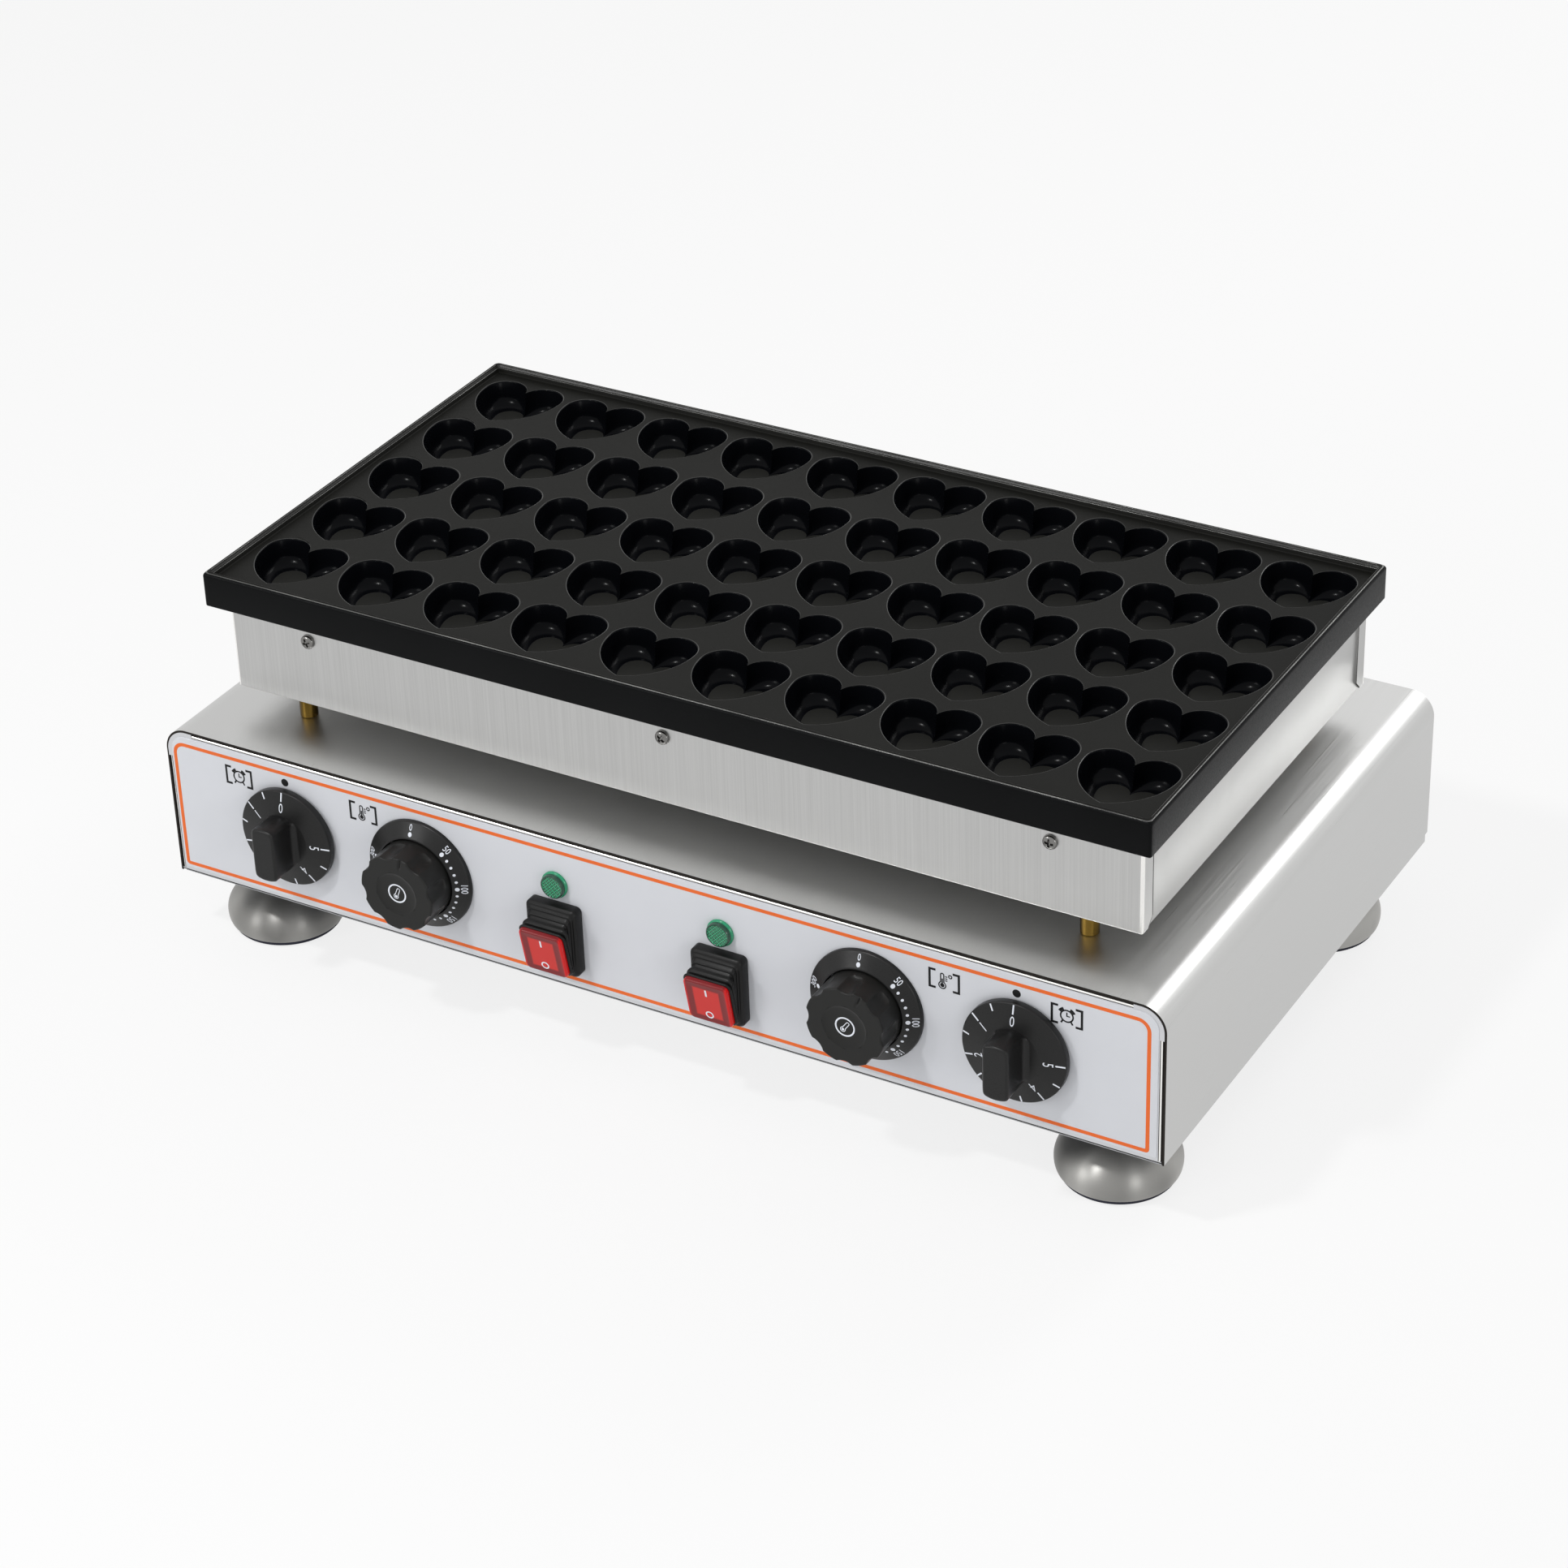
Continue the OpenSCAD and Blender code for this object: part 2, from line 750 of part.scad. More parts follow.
// outline of the body seen from the front, drawn in from its outer faces
module body_outline(inset) {
    w = body_w - 2 * inset;
    r = shell_bend_r - inset;
    top = z_deck - inset;
    translate([-w / 2, z_body]) square([w, top - r - z_body]);
    translate([-w / 2 + r, z_body]) square([w - 2 * r, top - z_body]);
    for (s = [-1, 1]) translate([s * (w / 2 - r), top - r]) circle(r);
}

module body_shell() {
    len = body_d - 2 * shell_set;
    flange_len = body_d - 2 * panel_bend_r;
    color("silver") difference() {
        union() {
            translate([0, y_back - shell_set, 0]) rotate([90, 0, 0]) linear_extrude(len) difference() {
                body_outline(0);
                body_outline(shell_t);
                translate([-body_w / 2 + shell_t, z_body - over])
                    square([body_w - 2 * shell_t, 2 * over]);
            }
            for (s = [-1, 1])
                translate([s * (body_w / 2 - shell_t - return_flange / 2), (y_front + y_back) / 2, z_body + shell_t / 2])
                    cube([return_flange, flange_len, shell_t], center = true);
        }
        at_conduits() translate([0, 0, z_deck - shell_t - over])
            cylinder(h = shell_t + 2 * over, d = conduit_d + 2 * fit_gap);
        at_studs() translate([0, 0, z_deck - shell_t - over])
            cylinder(h = shell_t + 2 * over, d = stud_d + 2 * fit_gap);
        at_cover_screws() translate([0, 0, -over]) cylinder(h = shell_t + 2 * over, d = cover_screw_d + screw_gap);
        for (s = [-1, 1])
            translate([s * body_w / 2 - 2 * shell_t, y_back - shell_set - notch_d, z_body - over])
                cube([4 * shell_t, notch_d + over, notch_h + over]);
    }
}

// a straight sheet edge folded back, along X, its outer face at z = 0 and its front at y = 0
module folded_edge(len) {
    rotate([90, 0, 90]) linear_extrude(len, center = true) {
        intersection() {
            translate([panel_bend_r, -panel_bend_r]) difference() {
                circle(panel_bend_r);
                circle(panel_bend_r - shell_t);
            }
            translate([0, -panel_bend_r]) square([panel_bend_r, panel_bend_r]);
        }
        translate([panel_bend_r, -shell_t]) square([return_flange - panel_bend_r, shell_t]);
    }
}

// a closing panel with its four folded edges, its outer face at y = 0
module panel() {
    in_w = body_w - 2 * shell_t;
    in_top = z_deck - shell_t;
    top_len = body_w - 2 * (shell_bend_r + profile_top_gap);
    low_len = in_w - 2 * (return_flange + strip_gap);
    side_low = z_body + side_strip_low;
    side_high = z_deck - shell_bend_r - profile_top_gap;
    translate([0, shell_t, 0]) rotate([90, 0, 0]) linear_extrude(shell_t) difference() {
        body_outline(shell_t);
        translate([-top_len / 2, in_top - panel_bend_r]) square([top_len, panel_bend_r + over]);
        translate([-low_len / 2, z_body - over]) square([low_len, panel_bend_r + over]);
        for (s = [-1, 1])
            translate([s * (in_w / 2 + over / 2 - panel_bend_r / 2) - (panel_bend_r + over) / 2, side_low])
                square([panel_bend_r + over, side_high - side_low]);
    }
    translate([0, 0, in_top]) folded_edge(top_len);
    translate([0, 0, z_body]) mirror([0, 0, 1]) folded_edge(low_len);
    for (s = [0, 1]) mirror([s, 0, 0])
        translate([in_w / 2, 0, (side_low + side_high) / 2]) rotate([0, 90, 0]) folded_edge(side_high - side_low);
}

// every hole that the front panel and its overlay share, long enough for both
module panel_holes() {
    for (s = [-1, 1]) {
        for (x = [timer_x, thermostat_x])
            on_panel(s * x, z_axis) translate([0, 0, -shell_t - over])
                cylinder(h = shell_t + overlay_t + 2 * over, d = bushing_d + 2 * fit_gap);
        on_panel(s * switch_x, z_lamp) translate([0, 0, -shell_t - over])
            cylinder(h = shell_t + overlay_t + 2 * over, d = lamp_neck_d + 2 * fit_gap);
        on_panel(s * switch_x, z_switch)
            translate([-switch_body_w / 2 - fit_gap, -switch_body_h / 2 - fit_gap, -shell_t - over])
                cube([switch_body_w + 2 * fit_gap, switch_body_h + 2 * fit_gap, shell_t + overlay_t + 2 * over]);
    }
}

module front_panel() {
    color("silver") difference() {
        translate([0, y_front, 0]) panel();
        panel_holes();
        at_cover_screws() translate([0, 0, -over]) cylinder(h = shell_t + 2 * over, d = cover_screw_d + screw_gap);
    }
}

module panel_overlay() {
    w = body_w - 2 * overlay_margin;
    h = body_h - 2 * overlay_margin;
    color([0.83, 0.84, 0.86]) difference() {
        translate([0, y_front, z_body + body_h / 2]) rotate([90, 0, 0])
            linear_extrude(overlay_t) round_rect(w, h, overlay_corner_r);
        panel_holes();
    }
}

module rear_panel() {
    color("silver") difference() {
        translate([0, y_back, 0]) mirror([0, 1, 0]) panel();
        translate([gland_x, y_back + over, z_body + gland_z]) rotate([90, 0, 0])
            cylinder(h = shell_t + 2 * over, d = gland_thread_d + 2 * fit_gap);
        at_cover_screws() translate([0, 0, -over]) cylinder(h = shell_t + 2 * over, d = cover_screw_d + screw_gap);
    }
}

module bottom_cover() {
    color("darkgray") difference() {
        translate([-body_w / 2 + cover_inset, y_front + cover_inset, z_body - cover_t])
            cube([body_w - 2 * cover_inset, body_d - 2 * cover_inset, cover_t]);
        at_feet() translate([0, 0, z_body - cover_t - over])
            cylinder(h = cover_t + 2 * over, d = foot_bolt_d + 2 * fit_gap);
        at_cover_screws() translate([0, 0, -cover_t - over])
            cylinder(h = cover_t + 2 * over, d = cover_screw_d + 2 * fit_gap);
        translate([earth_x, y_back - earth_from_back, z_body - cover_t - over])
            cylinder(h = cover_t + 2 * over, d = earth_d + 2 * fit_gap);
    }
}

module bottom_cover_screws() {
    color("gray") at_cover_screws() translate([0, 0, -cover_t]) mirror([0, 0, 1])
        pan_screw(cover_screw_head_d, cover_screw_head_h, cover_screw_d, cover_screw_len);
}

// Feet

// outline of a foot: the base, the widest ring, the dome up to the neck
function foot_dome(inset) = [for (i = [0 : dome_steps]) let (a = 90 * i / dome_steps)
    [neck_r + (foot_d / 2 - inset - neck_r) * cos(a),
     ring_h + (foot_h - neck_h - inset - ring_h) * sin(a)]];

module foot_shells() {
    base_in_r = foot_d / 2 - foot_base_in - foot_wall;
    color("lightgray") at_feet() translate([0, 0, pad_h]) difference() {
        rotate_extrude() polygon(concat([[0, 0], [foot_d / 2 - foot_base_in, 0]], foot_dome(0),
            [[neck_top_r, foot_h], [0, foot_h]]));
        translate([0, 0, -over]) cylinder(h = ring_h + over, r = base_in_r);
        rotate_extrude() polygon(concat([[0, ring_h - foot_wall], [base_in_r, ring_h - foot_wall]],
            foot_dome(foot_base_in + foot_wall), [[0, foot_h - neck_h - foot_base_in - foot_wall]]));
        cylinder(h = foot_h + over, d = foot_bolt_d + fit_gap);
    }
}

module foot_pads() {
    r = foot_d / 2 - foot_base_in;
    color([0.09, 0.1, 0.14]) at_feet() {
        cylinder(h = pad_h, r = r - pad_in);
        cylinder(h = pad_h + pad_spigot_h, r = r - foot_wall - fit_gap);
    }
}

module foot_bolts() {
    crown = pad_h + foot_h - neck_h - foot_base_in - foot_wall;
    top = z_body + foot_nut_h + foot_bolt_spare;
    color("lightgray") at_feet() {
        translate([0, 0, crown - foot_bolt_head_h]) cylinder(h = foot_bolt_head_h, d = foot_bolt_head_d);
        translate([0, 0, crown]) cylinder(h = top - crown, d = foot_bolt_d);
    }
}

module foot_nuts() {
    color("lightgray") at_feet() translate([0, 0, z_body]) difference() {
        hex(foot_nut_af, foot_nut_h);
        translate([0, 0, -over]) cylinder(h = foot_nut_h + 2 * over, d = foot_bolt_d + screw_gap);
    }
}

// Controls

// bore for a control shaft, from its end in the body out through the bushing
module shaft_bore() {
    translate([0, 0, -shaft_back - bore_spare])
        cylinder(h = shaft_back + bore_spare + bushing_out + over, d = shaft_d + 2 * shaft_gap);
}

module bushing() {
    translate([0, 0, -shell_t]) cylinder(h = shell_t + bushing_out, d = bushing_d);
}

module timer_body(x) {
    color("ivory") on_panel(x, z_axis) difference() {
        union() {
            translate([0, 0, -shell_t - timer_body_deep]) cylinder(h = timer_body_deep, d = timer_body_d);
            bushing();
        }
        shaft_bore();
    }
}

module timer_left_body() {
    timer_body(-timer_x);
}

module timer_right_body() {
    timer_body(timer_x);
}

module thermostat_body(x) {
    color("ivory") on_panel(x, z_axis) difference() {
        union() {
            translate([-stat_body_w / 2, -stat_body_w / 2, -shell_t - stat_body_deep])
                cube([stat_body_w, stat_body_w, stat_body_deep]);
            bushing();
        }
        shaft_bore();
    }
}

module thermostat_left_body() {
    thermostat_body(-thermostat_x);
}

module thermostat_right_body() {
    thermostat_body(thermostat_x);
}

module control_shaft(x) {
    color("lightgray") on_panel(x, z_axis) translate([0, 0, -shaft_back])
        cylinder(h = shaft_back + shaft_out, d = shaft_d);
}

module timer_left_shaft() {
    control_shaft(-timer_x);
}

module timer_right_shaft() {
    control_shaft(timer_x);
}

module thermostat_left_shaft() {
    control_shaft(-thermostat_x);
}

module thermostat_right_shaft() {
    control_shaft(thermostat_x);
}

module control_nuts() {
    color("lightgray") for (s = [-1, 1], x = [timer_x, thermostat_x])
        on_panel(s * x, z_axis) translate([0, 0, overlay_t]) difference() {
            hex(nut_af, nut_h);
            translate([0, 0, -over]) cylinder(h = nut_h + 2 * over, d = bushing_d + screw_gap);
        }
}

// the hollow behind a knob and its blind bore for the shaft
module knob_hollow() {
    translate([0, 0, knob_back_out - over]) cylinder(h = recess_out - knob_back_out + over, d = recess_d);
    cylinder(h = shaft_out + shaft_gap, d = shaft_d + 2 * shaft_gap);
}

// timer dial with its grip bar, the bar upright at rest
module timer_knob(x) {
    color([0.07, 0.07, 0.08]) on_panel(x, z_axis) difference() {
        union() {
            translate([0, 0, knob_back_out]) cylinder(h = dial_out - knob_back_out, d = dial_d);
            translate([0, 0, dial_out]) cylinder(h = hub_out - dial_out, d1 = dial_d, d2 = hub_d);
            intersection() {
                translate([0, 0, hub_out]) cylinder(h = fillet_out, d = hub_d);
                difference() {
                    translate([-grip_w / 2 - fillet_out, -hub_d, hub_out - over])
                        cube([grip_w + 2 * fillet_out, 2 * hub_d, fillet_out + over]);
                    for (s = [-1, 1])
                        translate([s * (grip_w / 2 + fillet_out), 0, hub_out + fillet_out]) rotate([90, 0, 0])
                            cylinder(h = 3 * hub_d, r = fillet_out, center = true);
                }
            }
            intersection() {
                translate([0, 0, dial_out]) cylinder(h = knob_out - dial_out, d = grip_d);
                translate([-grip_w / 2, -grip_d, dial_out]) cube([grip_w, 2 * grip_d, knob_out - dial_out]);
            }
        }
        knob_hollow();
    }
}

module timer_left_knob() {
    timer_knob(-timer_x);
}

module timer_right_knob() {
    timer_knob(timer_x);
}

module thermostat_bezel(x) {
    in_r = stat_knob_d / 2 + stat_gap;
    out_r = bezel_d / 2;
    color([0.07, 0.07, 0.08]) on_panel(x, z_axis)
        rotate_extrude() polygon([[in_r, overlay_t], [out_r, overlay_t], [out_r, bezel_edge], [in_r, bezel_out]]);
}

module thermostat_left_bezel() {
    thermostat_bezel(-thermostat_x);
}

module thermostat_right_bezel() {
    thermostat_bezel(thermostat_x);
}

// fluted knob with a shallow dish and a pointer notch, turned clockwise by rest
module thermostat_knob(x, rest) {
    color([0.07, 0.07, 0.08]) on_panel(x, z_axis) rotate([0, 0, -rest]) difference() {
        translate([0, 0, knob_back_out]) cylinder(h = stat_knob_out - knob_back_out, d = stat_knob_d);
        knob_hollow();
        for (i = [0 : flutes - 1]) rotate([0, 0, 360 * (i + 0.5) / flutes])
            translate([0, stat_knob_d / 2 + flute_r - flute_depth, flute_start])
                cylinder(h = stat_knob_out - flute_start + over, r = flute_r);
        translate([0, 0, stat_knob_out - dish_depth]) cylinder(h = dish_depth + over, d = dish_d);
        translate([-pointer_w / 2, stat_knob_d / 2 - pointer_len, stat_knob_out - pointer_depth])
            cube([pointer_w, pointer_len + over, pointer_depth + over]);
    }
}

module thermostat_left_knob() {
    thermostat_knob(-thermostat_x, stat_rest_left);
}

module thermostat_right_knob() {
    thermostat_knob(thermostat_x, stat_rest_right);
}

// Switches and lamps

// places a child at the pivot of a switch, in a frame turned with the rocker, -Y out of the panel
module at_pivot(x, turn) {
    translate([x, y_front + pivot_back, z_switch]) rotate([turn, 0, 0]) children();
}

module switch_body(x) {
    cavity_w = switch_body_w - 2 * switch_wall;
    cavity_h = switch_body_h - 2 * cavity_wall;
    color("darkslategray") difference() {
        translate([x - switch_body_w / 2, y_front - collar_out, z_switch - switch_body_h / 2])
            cube([switch_body_w, collar_out + switch_body_deep, switch_body_h]);
        translate([x - cavity_w / 2, y_front - collar_out - over, z_switch - cavity_h / 2])
            cube([cavity_w, collar_out + cavity_back + over, cavity_h]);
        at_pivot(x, 0) tube_x(-switch_body_w / 2 - over, switch_body_w / 2 + over, pin_r + shaft_gap);
    }
}

module switch_left_body() {
    switch_body(-switch_x);
}

module switch_right_body() {
    switch_body(switch_x);
}

// box about the pivot: full width and height, from out_a to out_b forward of the pivot
module pivot_box(w, h, out_a, out_b) {
    translate([-w / 2, -out_b, -h / 2]) cube([w, out_b - out_a, h]);
}

// rubber boot: a base round the switch collar and two folds that follow the rocker
module switch_boot(x) {
    back = rocker_reach - rocker_t - boot_gap;
    hole_w = switch_body_w + 2 * fit_gap;
    hole_h = switch_body_h + 2 * fit_gap;
    color([0.05, 0.05, 0.05]) difference() {
        union() {
            difference() {
                on_panel(x, z_switch) {
                    translate([0, 0, overlay_t]) linear_extrude(boot_out - overlay_t - boot_chamfer)
                        round_rect(boot_w, boot_h, boot_corner_r);
                    translate([0, 0, boot_out - boot_chamfer]) linear_extrude(boot_chamfer)
                        round_rect(boot_w - boot_chamfer, boot_h - boot_chamfer, boot_corner_r);
                }
                translate([x - hole_w / 2, y_front - collar_out - fit_gap, z_switch - hole_h / 2])
                    cube([hole_w, collar_out + over, hole_h]);
            }
            at_pivot(x, rocker_tilt) {
                pivot_box(sleeve_w, sleeve_w, sleeve_start, back);
                pivot_box(fold_w, fold_h, back - fold_t, back);
            }
            at_pivot(x, rocker_tilt / 2) pivot_box(fold_w, fold_h, back - 2.5 * fold_t, back - 1.5 * fold_t);
        }
        at_pivot(x, rocker_tilt) pivot_box(sleeve_open, sleeve_open - fold_t, -over, back + over);
    }
}

module switch_left_boot() {
    switch_boot(-switch_x);
}

module switch_right_boot() {
    switch_boot(switch_x);
}

// rocker: cap, stem, tail and its pivot pin, tilted with its top outward at rest
module switch_rocker(x) {
    color([0.85, 0.1, 0.07]) at_pivot(x, rocker_tilt) {
        pivot_box(rocker_w, rocker_h, rocker_reach - rocker_t, rocker_reach);
        pivot_box(stem_w, stem_h, -stem_back, rocker_reach - rocker_t);
        pivot_box(tail_h, tail_h, -tail_back, -stem_back);
        tube_x(-switch_body_w / 2 + fit_gap, switch_body_w / 2 - fit_gap, pin_r);
    }
}

module switch_left_rocker() {
    switch_rocker(-switch_x);
}

module switch_right_rocker() {
    switch_rocker(switch_x);
}

module lamp_lenses() {
    color([0.1, 0.75, 0.25]) for (s = [-1, 1]) on_panel(s * switch_x, z_lamp) {
        translate([0, 0, overlay_t]) cylinder(h = lens_flange_out - overlay_t, d = lens_flange_d);
        translate([0, 0, lens_flange_out]) cylinder(h = lens_out - lens_flange_out, d = lens_d);
    }
}

module lamp_bodies() {
    color("ivory") for (s = [-1, 1]) on_panel(s * switch_x, z_lamp) {
        translate([0, 0, -lamp_back]) cylinder(h = lamp_back + overlay_t, d = lamp_neck_d);
        translate([0, 0, -shell_t - lamp_nut_h]) cylinder(h = lamp_nut_h, d = lamp_nut_d);
    }
}

// Mains pieces at the rear

module terminal_block() {
    way = block_w / block_ways;
    color("white") translate([gland_x, y_back - block_from_back, z_body]) difference() {
        union() {
            translate([-block_w / 2, -block_d / 2, 0]) cube([block_w, block_d, block_base_h]);
            for (i = [0 : block_ways - 1])
                translate([(i - (block_ways - 1) / 2) * way - way * block_way_share / 2, -block_d / 2, 0])
                    cube([way * block_way_share, block_d, block_h]);
        }
        for (i = [0 : block_ways - 1]) translate([(i - (block_ways - 1) / 2) * way, 0, block_base_h + block_bore])
            rotate([90, 0, 0]) cylinder(h = block_d + 2 * over, d = block_bore, center = true);
    }
}

// gland with its axis along +Y, out of the rear panel
module at_gland() {
    translate([gland_x, y_back, z_body + gland_z]) rotate([-90, 0, 0]) children();
}

module cable_gland() {
    color("dimgray") at_gland() difference() {
        union() {
            translate([0, 0, -gland_thread_len]) cylinder(h = gland_thread_len, d = gland_thread_d);
            hex(gland_hex_af, gland_hex_h);
            cylinder(h = gland_out - gland_cone_h, d = gland_cap_d);
            translate([0, 0, gland_out - gland_cone_h])
                cylinder(h = gland_cone_h, d1 = gland_cap_d, d2 = gland_tip_d);
        }
        translate([0, 0, -gland_thread_len - over])
            cylinder(h = gland_thread_len + gland_out + 2 * over, d = gland_bore);
    }
}

module gland_nut() {
    color("dimgray") at_gland() translate([0, 0, -shell_t - gland_nut_h]) difference() {
        hex(gland_nut_af, gland_nut_h);
        translate([0, 0, -over]) cylinder(h = gland_nut_h + 2 * over, d = gland_thread_d + screw_gap);
    }
}

module earth_terminal() {
    color("goldenrod") translate([earth_x, y_back - earth_from_back, z_body - cover_t]) {
        translate([0, 0, -earth_base_h]) cylinder(h = earth_base_h, d = earth_base_d);
        cylinder(h = earth_len, d = earth_d);
        translate([0, 0, cover_t]) difference() {
            hex(earth_af, earth_nut_h);
            translate([0, 0, -over]) cylinder(h = earth_nut_h + 2 * over, d = earth_d + screw_gap);
        }
    }
}

baking_plate();
casing_front();
casing_rear();
casing_left();
casing_right();
casing_base();
casing_screws();
insulation_board();
element_left();
element_right();
element_clamps();
clamp_screws();
sensor_left();
sensor_right();
sensor_clips();
wire_conduits();
standoff_studs();
standoff_sleeves();
standoff_nuts();
body_shell();
front_panel();
panel_overlay();
rear_panel();
bottom_cover();
bottom_cover_screws();
foot_shells();
foot_pads();
foot_bolts();
foot_nuts();
timer_left_body();
timer_right_body();
timer_left_shaft();
timer_right_shaft();
timer_left_knob();
timer_right_knob();
thermostat_left_body();
thermostat_right_body();
thermostat_left_bezel();
thermostat_right_bezel();
thermostat_left_shaft();
thermostat_right_shaft();
thermostat_left_knob();
thermostat_right_knob();
control_nuts();
switch_left_body();
switch_right_body();
switch_left_boot();
switch_right_boot();
switch_left_rocker();
switch_right_rocker();
lamp_lenses();
lamp_bodies();
terminal_block();
cable_gland();
gland_nut();
earth_terminal();
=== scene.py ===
import bmesh
import bpy
import math
import numpy as np
from mathutils import Matrix, Vector


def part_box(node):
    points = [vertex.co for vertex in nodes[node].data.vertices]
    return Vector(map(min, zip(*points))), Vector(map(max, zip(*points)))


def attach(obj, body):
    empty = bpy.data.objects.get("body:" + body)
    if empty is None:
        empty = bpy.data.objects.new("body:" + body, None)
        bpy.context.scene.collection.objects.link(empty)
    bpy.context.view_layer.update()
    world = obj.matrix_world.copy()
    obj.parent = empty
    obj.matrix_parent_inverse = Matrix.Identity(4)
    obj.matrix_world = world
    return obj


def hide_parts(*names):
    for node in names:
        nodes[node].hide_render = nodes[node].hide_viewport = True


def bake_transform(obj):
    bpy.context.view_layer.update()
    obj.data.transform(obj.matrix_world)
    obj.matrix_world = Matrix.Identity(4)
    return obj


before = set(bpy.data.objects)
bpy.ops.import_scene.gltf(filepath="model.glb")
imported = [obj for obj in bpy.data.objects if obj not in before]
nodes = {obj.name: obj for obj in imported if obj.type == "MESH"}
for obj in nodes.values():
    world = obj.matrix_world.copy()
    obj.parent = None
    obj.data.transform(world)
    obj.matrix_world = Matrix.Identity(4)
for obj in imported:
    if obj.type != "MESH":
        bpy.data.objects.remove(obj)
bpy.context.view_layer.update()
mm = 0.001


class Settings(dict):
    # a dictionary whose entries can also be read as settings.name
    __getattr__ = dict.__getitem__


def nodeBox(name):
    # low and high corners of a node of the frame, in millimetres
    low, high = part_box(name)
    return np.array(low) / mm, np.array(high) / mm


shellLow, shellHigh = nodeBox("body_shell")
plateLow, plateHigh = nodeBox("baking_plate")
panLow, panHigh = nodeBox("casing_front")
front, back = nodeBox("front_panel")[0][1], nodeBox("rear_panel")[1][1]
low, deck, halfWidth = shellLow[2], shellHigh[2], shellHigh[0]
panFront, panBack = panLow[1], nodeBox("casing_rear")[1][1]
casing, rim, top = panLow[2], panHigh[2], plateHigh[2]
print("frame loaded with", len(nodes), "nodes")


# surfaces, worked out in millimetres
def gridQuads(rows, cols, wrap=False):
    # face (i, j) joins points (i, j), (i, j+1), (i+1, j+1) and (i+1, j); wrap joins each row's end to its start
    i = np.arange(rows - 1)[:, None]
    j = np.arange(cols if wrap else cols - 1)[None, :]
    k = (j + 1) % cols
    corners = np.broadcast_arrays(i * cols + j, i * cols + k, (i + 1) * cols + k, (i + 1) * cols + j)
    return np.stack(corners, -1).reshape(-1, 4)


def outward(points, faces):
    # a closed surface faces outward when the tetrahedra from the origin to its faces add up to a positive volume
    volume = sum(np.einsum("ij,ij->", points[group[:, 0]], np.cross(points[group[:, k]], points[group[:, k + 1]]))
                 for group in faces for k in range(1, group.shape[1] - 1))
    return points, faces if volume > 0 else [group[:, ::-1] for group in faces]


def joined(shapes):
    # puts several surfaces into one, each with its own points
    starts = np.cumsum([0] + [len(points) for points, _ in shapes])
    return (np.concatenate([points for points, _ in shapes]),
            [group + start for (_, faces), start in zip(shapes, starts) for group in faces])


def lofted(rings, ring=False):
    # rings[i, j] is point j of ring i, and quads join each ring to the next; flat faces close both ends,
    # or with ring the last one joins the first
    rings = np.asarray(rings, float)
    count, size = rings.shape[:2]
    points = rings.reshape(-1, 3)
    if ring:
        return outward(points, [gridQuads(count + 1, size, wrap=True) % len(points)])
    around = np.arange(size)[None]
    return outward(points, [gridQuads(count, size, wrap=True), around[:, ::-1], around + (count - 1) * size])


def fanned(rings):
    # like lofted, with both ends closed by triangles about their mean points, for round ends
    rings = np.asarray(rings, float)
    count, size = rings.shape[:2]
    points = np.concatenate([rings.reshape(-1, 3), rings[:1].mean(1), rings[-1:].mean(1)])
    around = np.arange(size)
    after = (around + 1) % size
    last, middle = (count - 1) * size, np.full(size, count * size)
    ends = [np.stack([after, around, middle], -1), np.stack([around + last, after + last, middle + 1], -1)]
    return outward(points, [gridQuads(count, size, wrap=True), np.concatenate(ends)])


def repeated(close, rings, places, **settings):
    # the same rings at each place, closed by lofted or fanned, as one surface
    return joined([close(rings + [x, y, 0], **settings) for x, y in places])


def thickened(outer, inner, faces):
    # a skin of faces on the outer points, the same turned round on the inner points, and a wall at each open edge
    count, sides = len(outer), faces.shape[1]
    edges = np.concatenate([faces[:, [k, (k + 1) % sides]] for k in range(sides)])
    lone = edges[~np.isin(edges[:, 0] * count + edges[:, 1], edges[:, 1] * count + edges[:, 0])]
    walls = np.stack([lone[:, 1], lone[:, 0], lone[:, 0] + count, lone[:, 1] + count], -1)
    return outward(np.concatenate([outer, inner]), [faces, faces[:, ::-1] + count, walls])


def thickSheet(outer, inner, keep=None):
    # outer and inner are grids of points; the cells that keep marks get both skins, and walls close their edges
    quads = gridQuads(*outer.shape[:2])
    if keep is not None:
        quads = quads[keep.ravel()]
    return thickened(outer.reshape(-1, 3), inner.reshape(-1, 3), quads)


def arc(cx, cy, r, start, end, steps):
    # points on a circle from the start angle to the end angle, in degrees
    a = np.radians(np.linspace(start, end, steps + 1))
    return np.stack([cx + r * np.cos(a), cy + r * np.sin(a)], -1)


def roundOver(r, steps, start=0):
    # a rounded edge from the front to the side: how far in from the side and back from the front each step lies
    a = np.radians(np.linspace(start, 90, steps))
    return r * np.stack([1 - np.sin(a), 1 - np.cos(a)], -1)


def mirrored(half):
    # half an outline, and its mirror image back to where it began
    return np.concatenate([half, half[::-1] * [-1, 1]])


def roundedOutline(w, h, r, steps=8, centre=(0, 0)):
    # rectangle with a quarter circle at each corner; r is one radius, or four from lower right round to lower left
    corners = zip((1, 1, -1, -1), (-1, 1, 1, -1), np.maximum(np.broadcast_to(r, 4), 0.01), (0, 90, 180, 270))
    return np.concatenate([arc(sx * (w / 2 - q), sy * (h / 2 - q), q, turn - 90, turn, steps)
                           for sx, sy, q, turn in corners]) + np.array(centre)


def walked(path):
    # distance of each point of a path from its first, along the path
    return np.concatenate([[0], np.cumsum(np.linalg.norm(np.diff(path, axis=0), axis=1))])


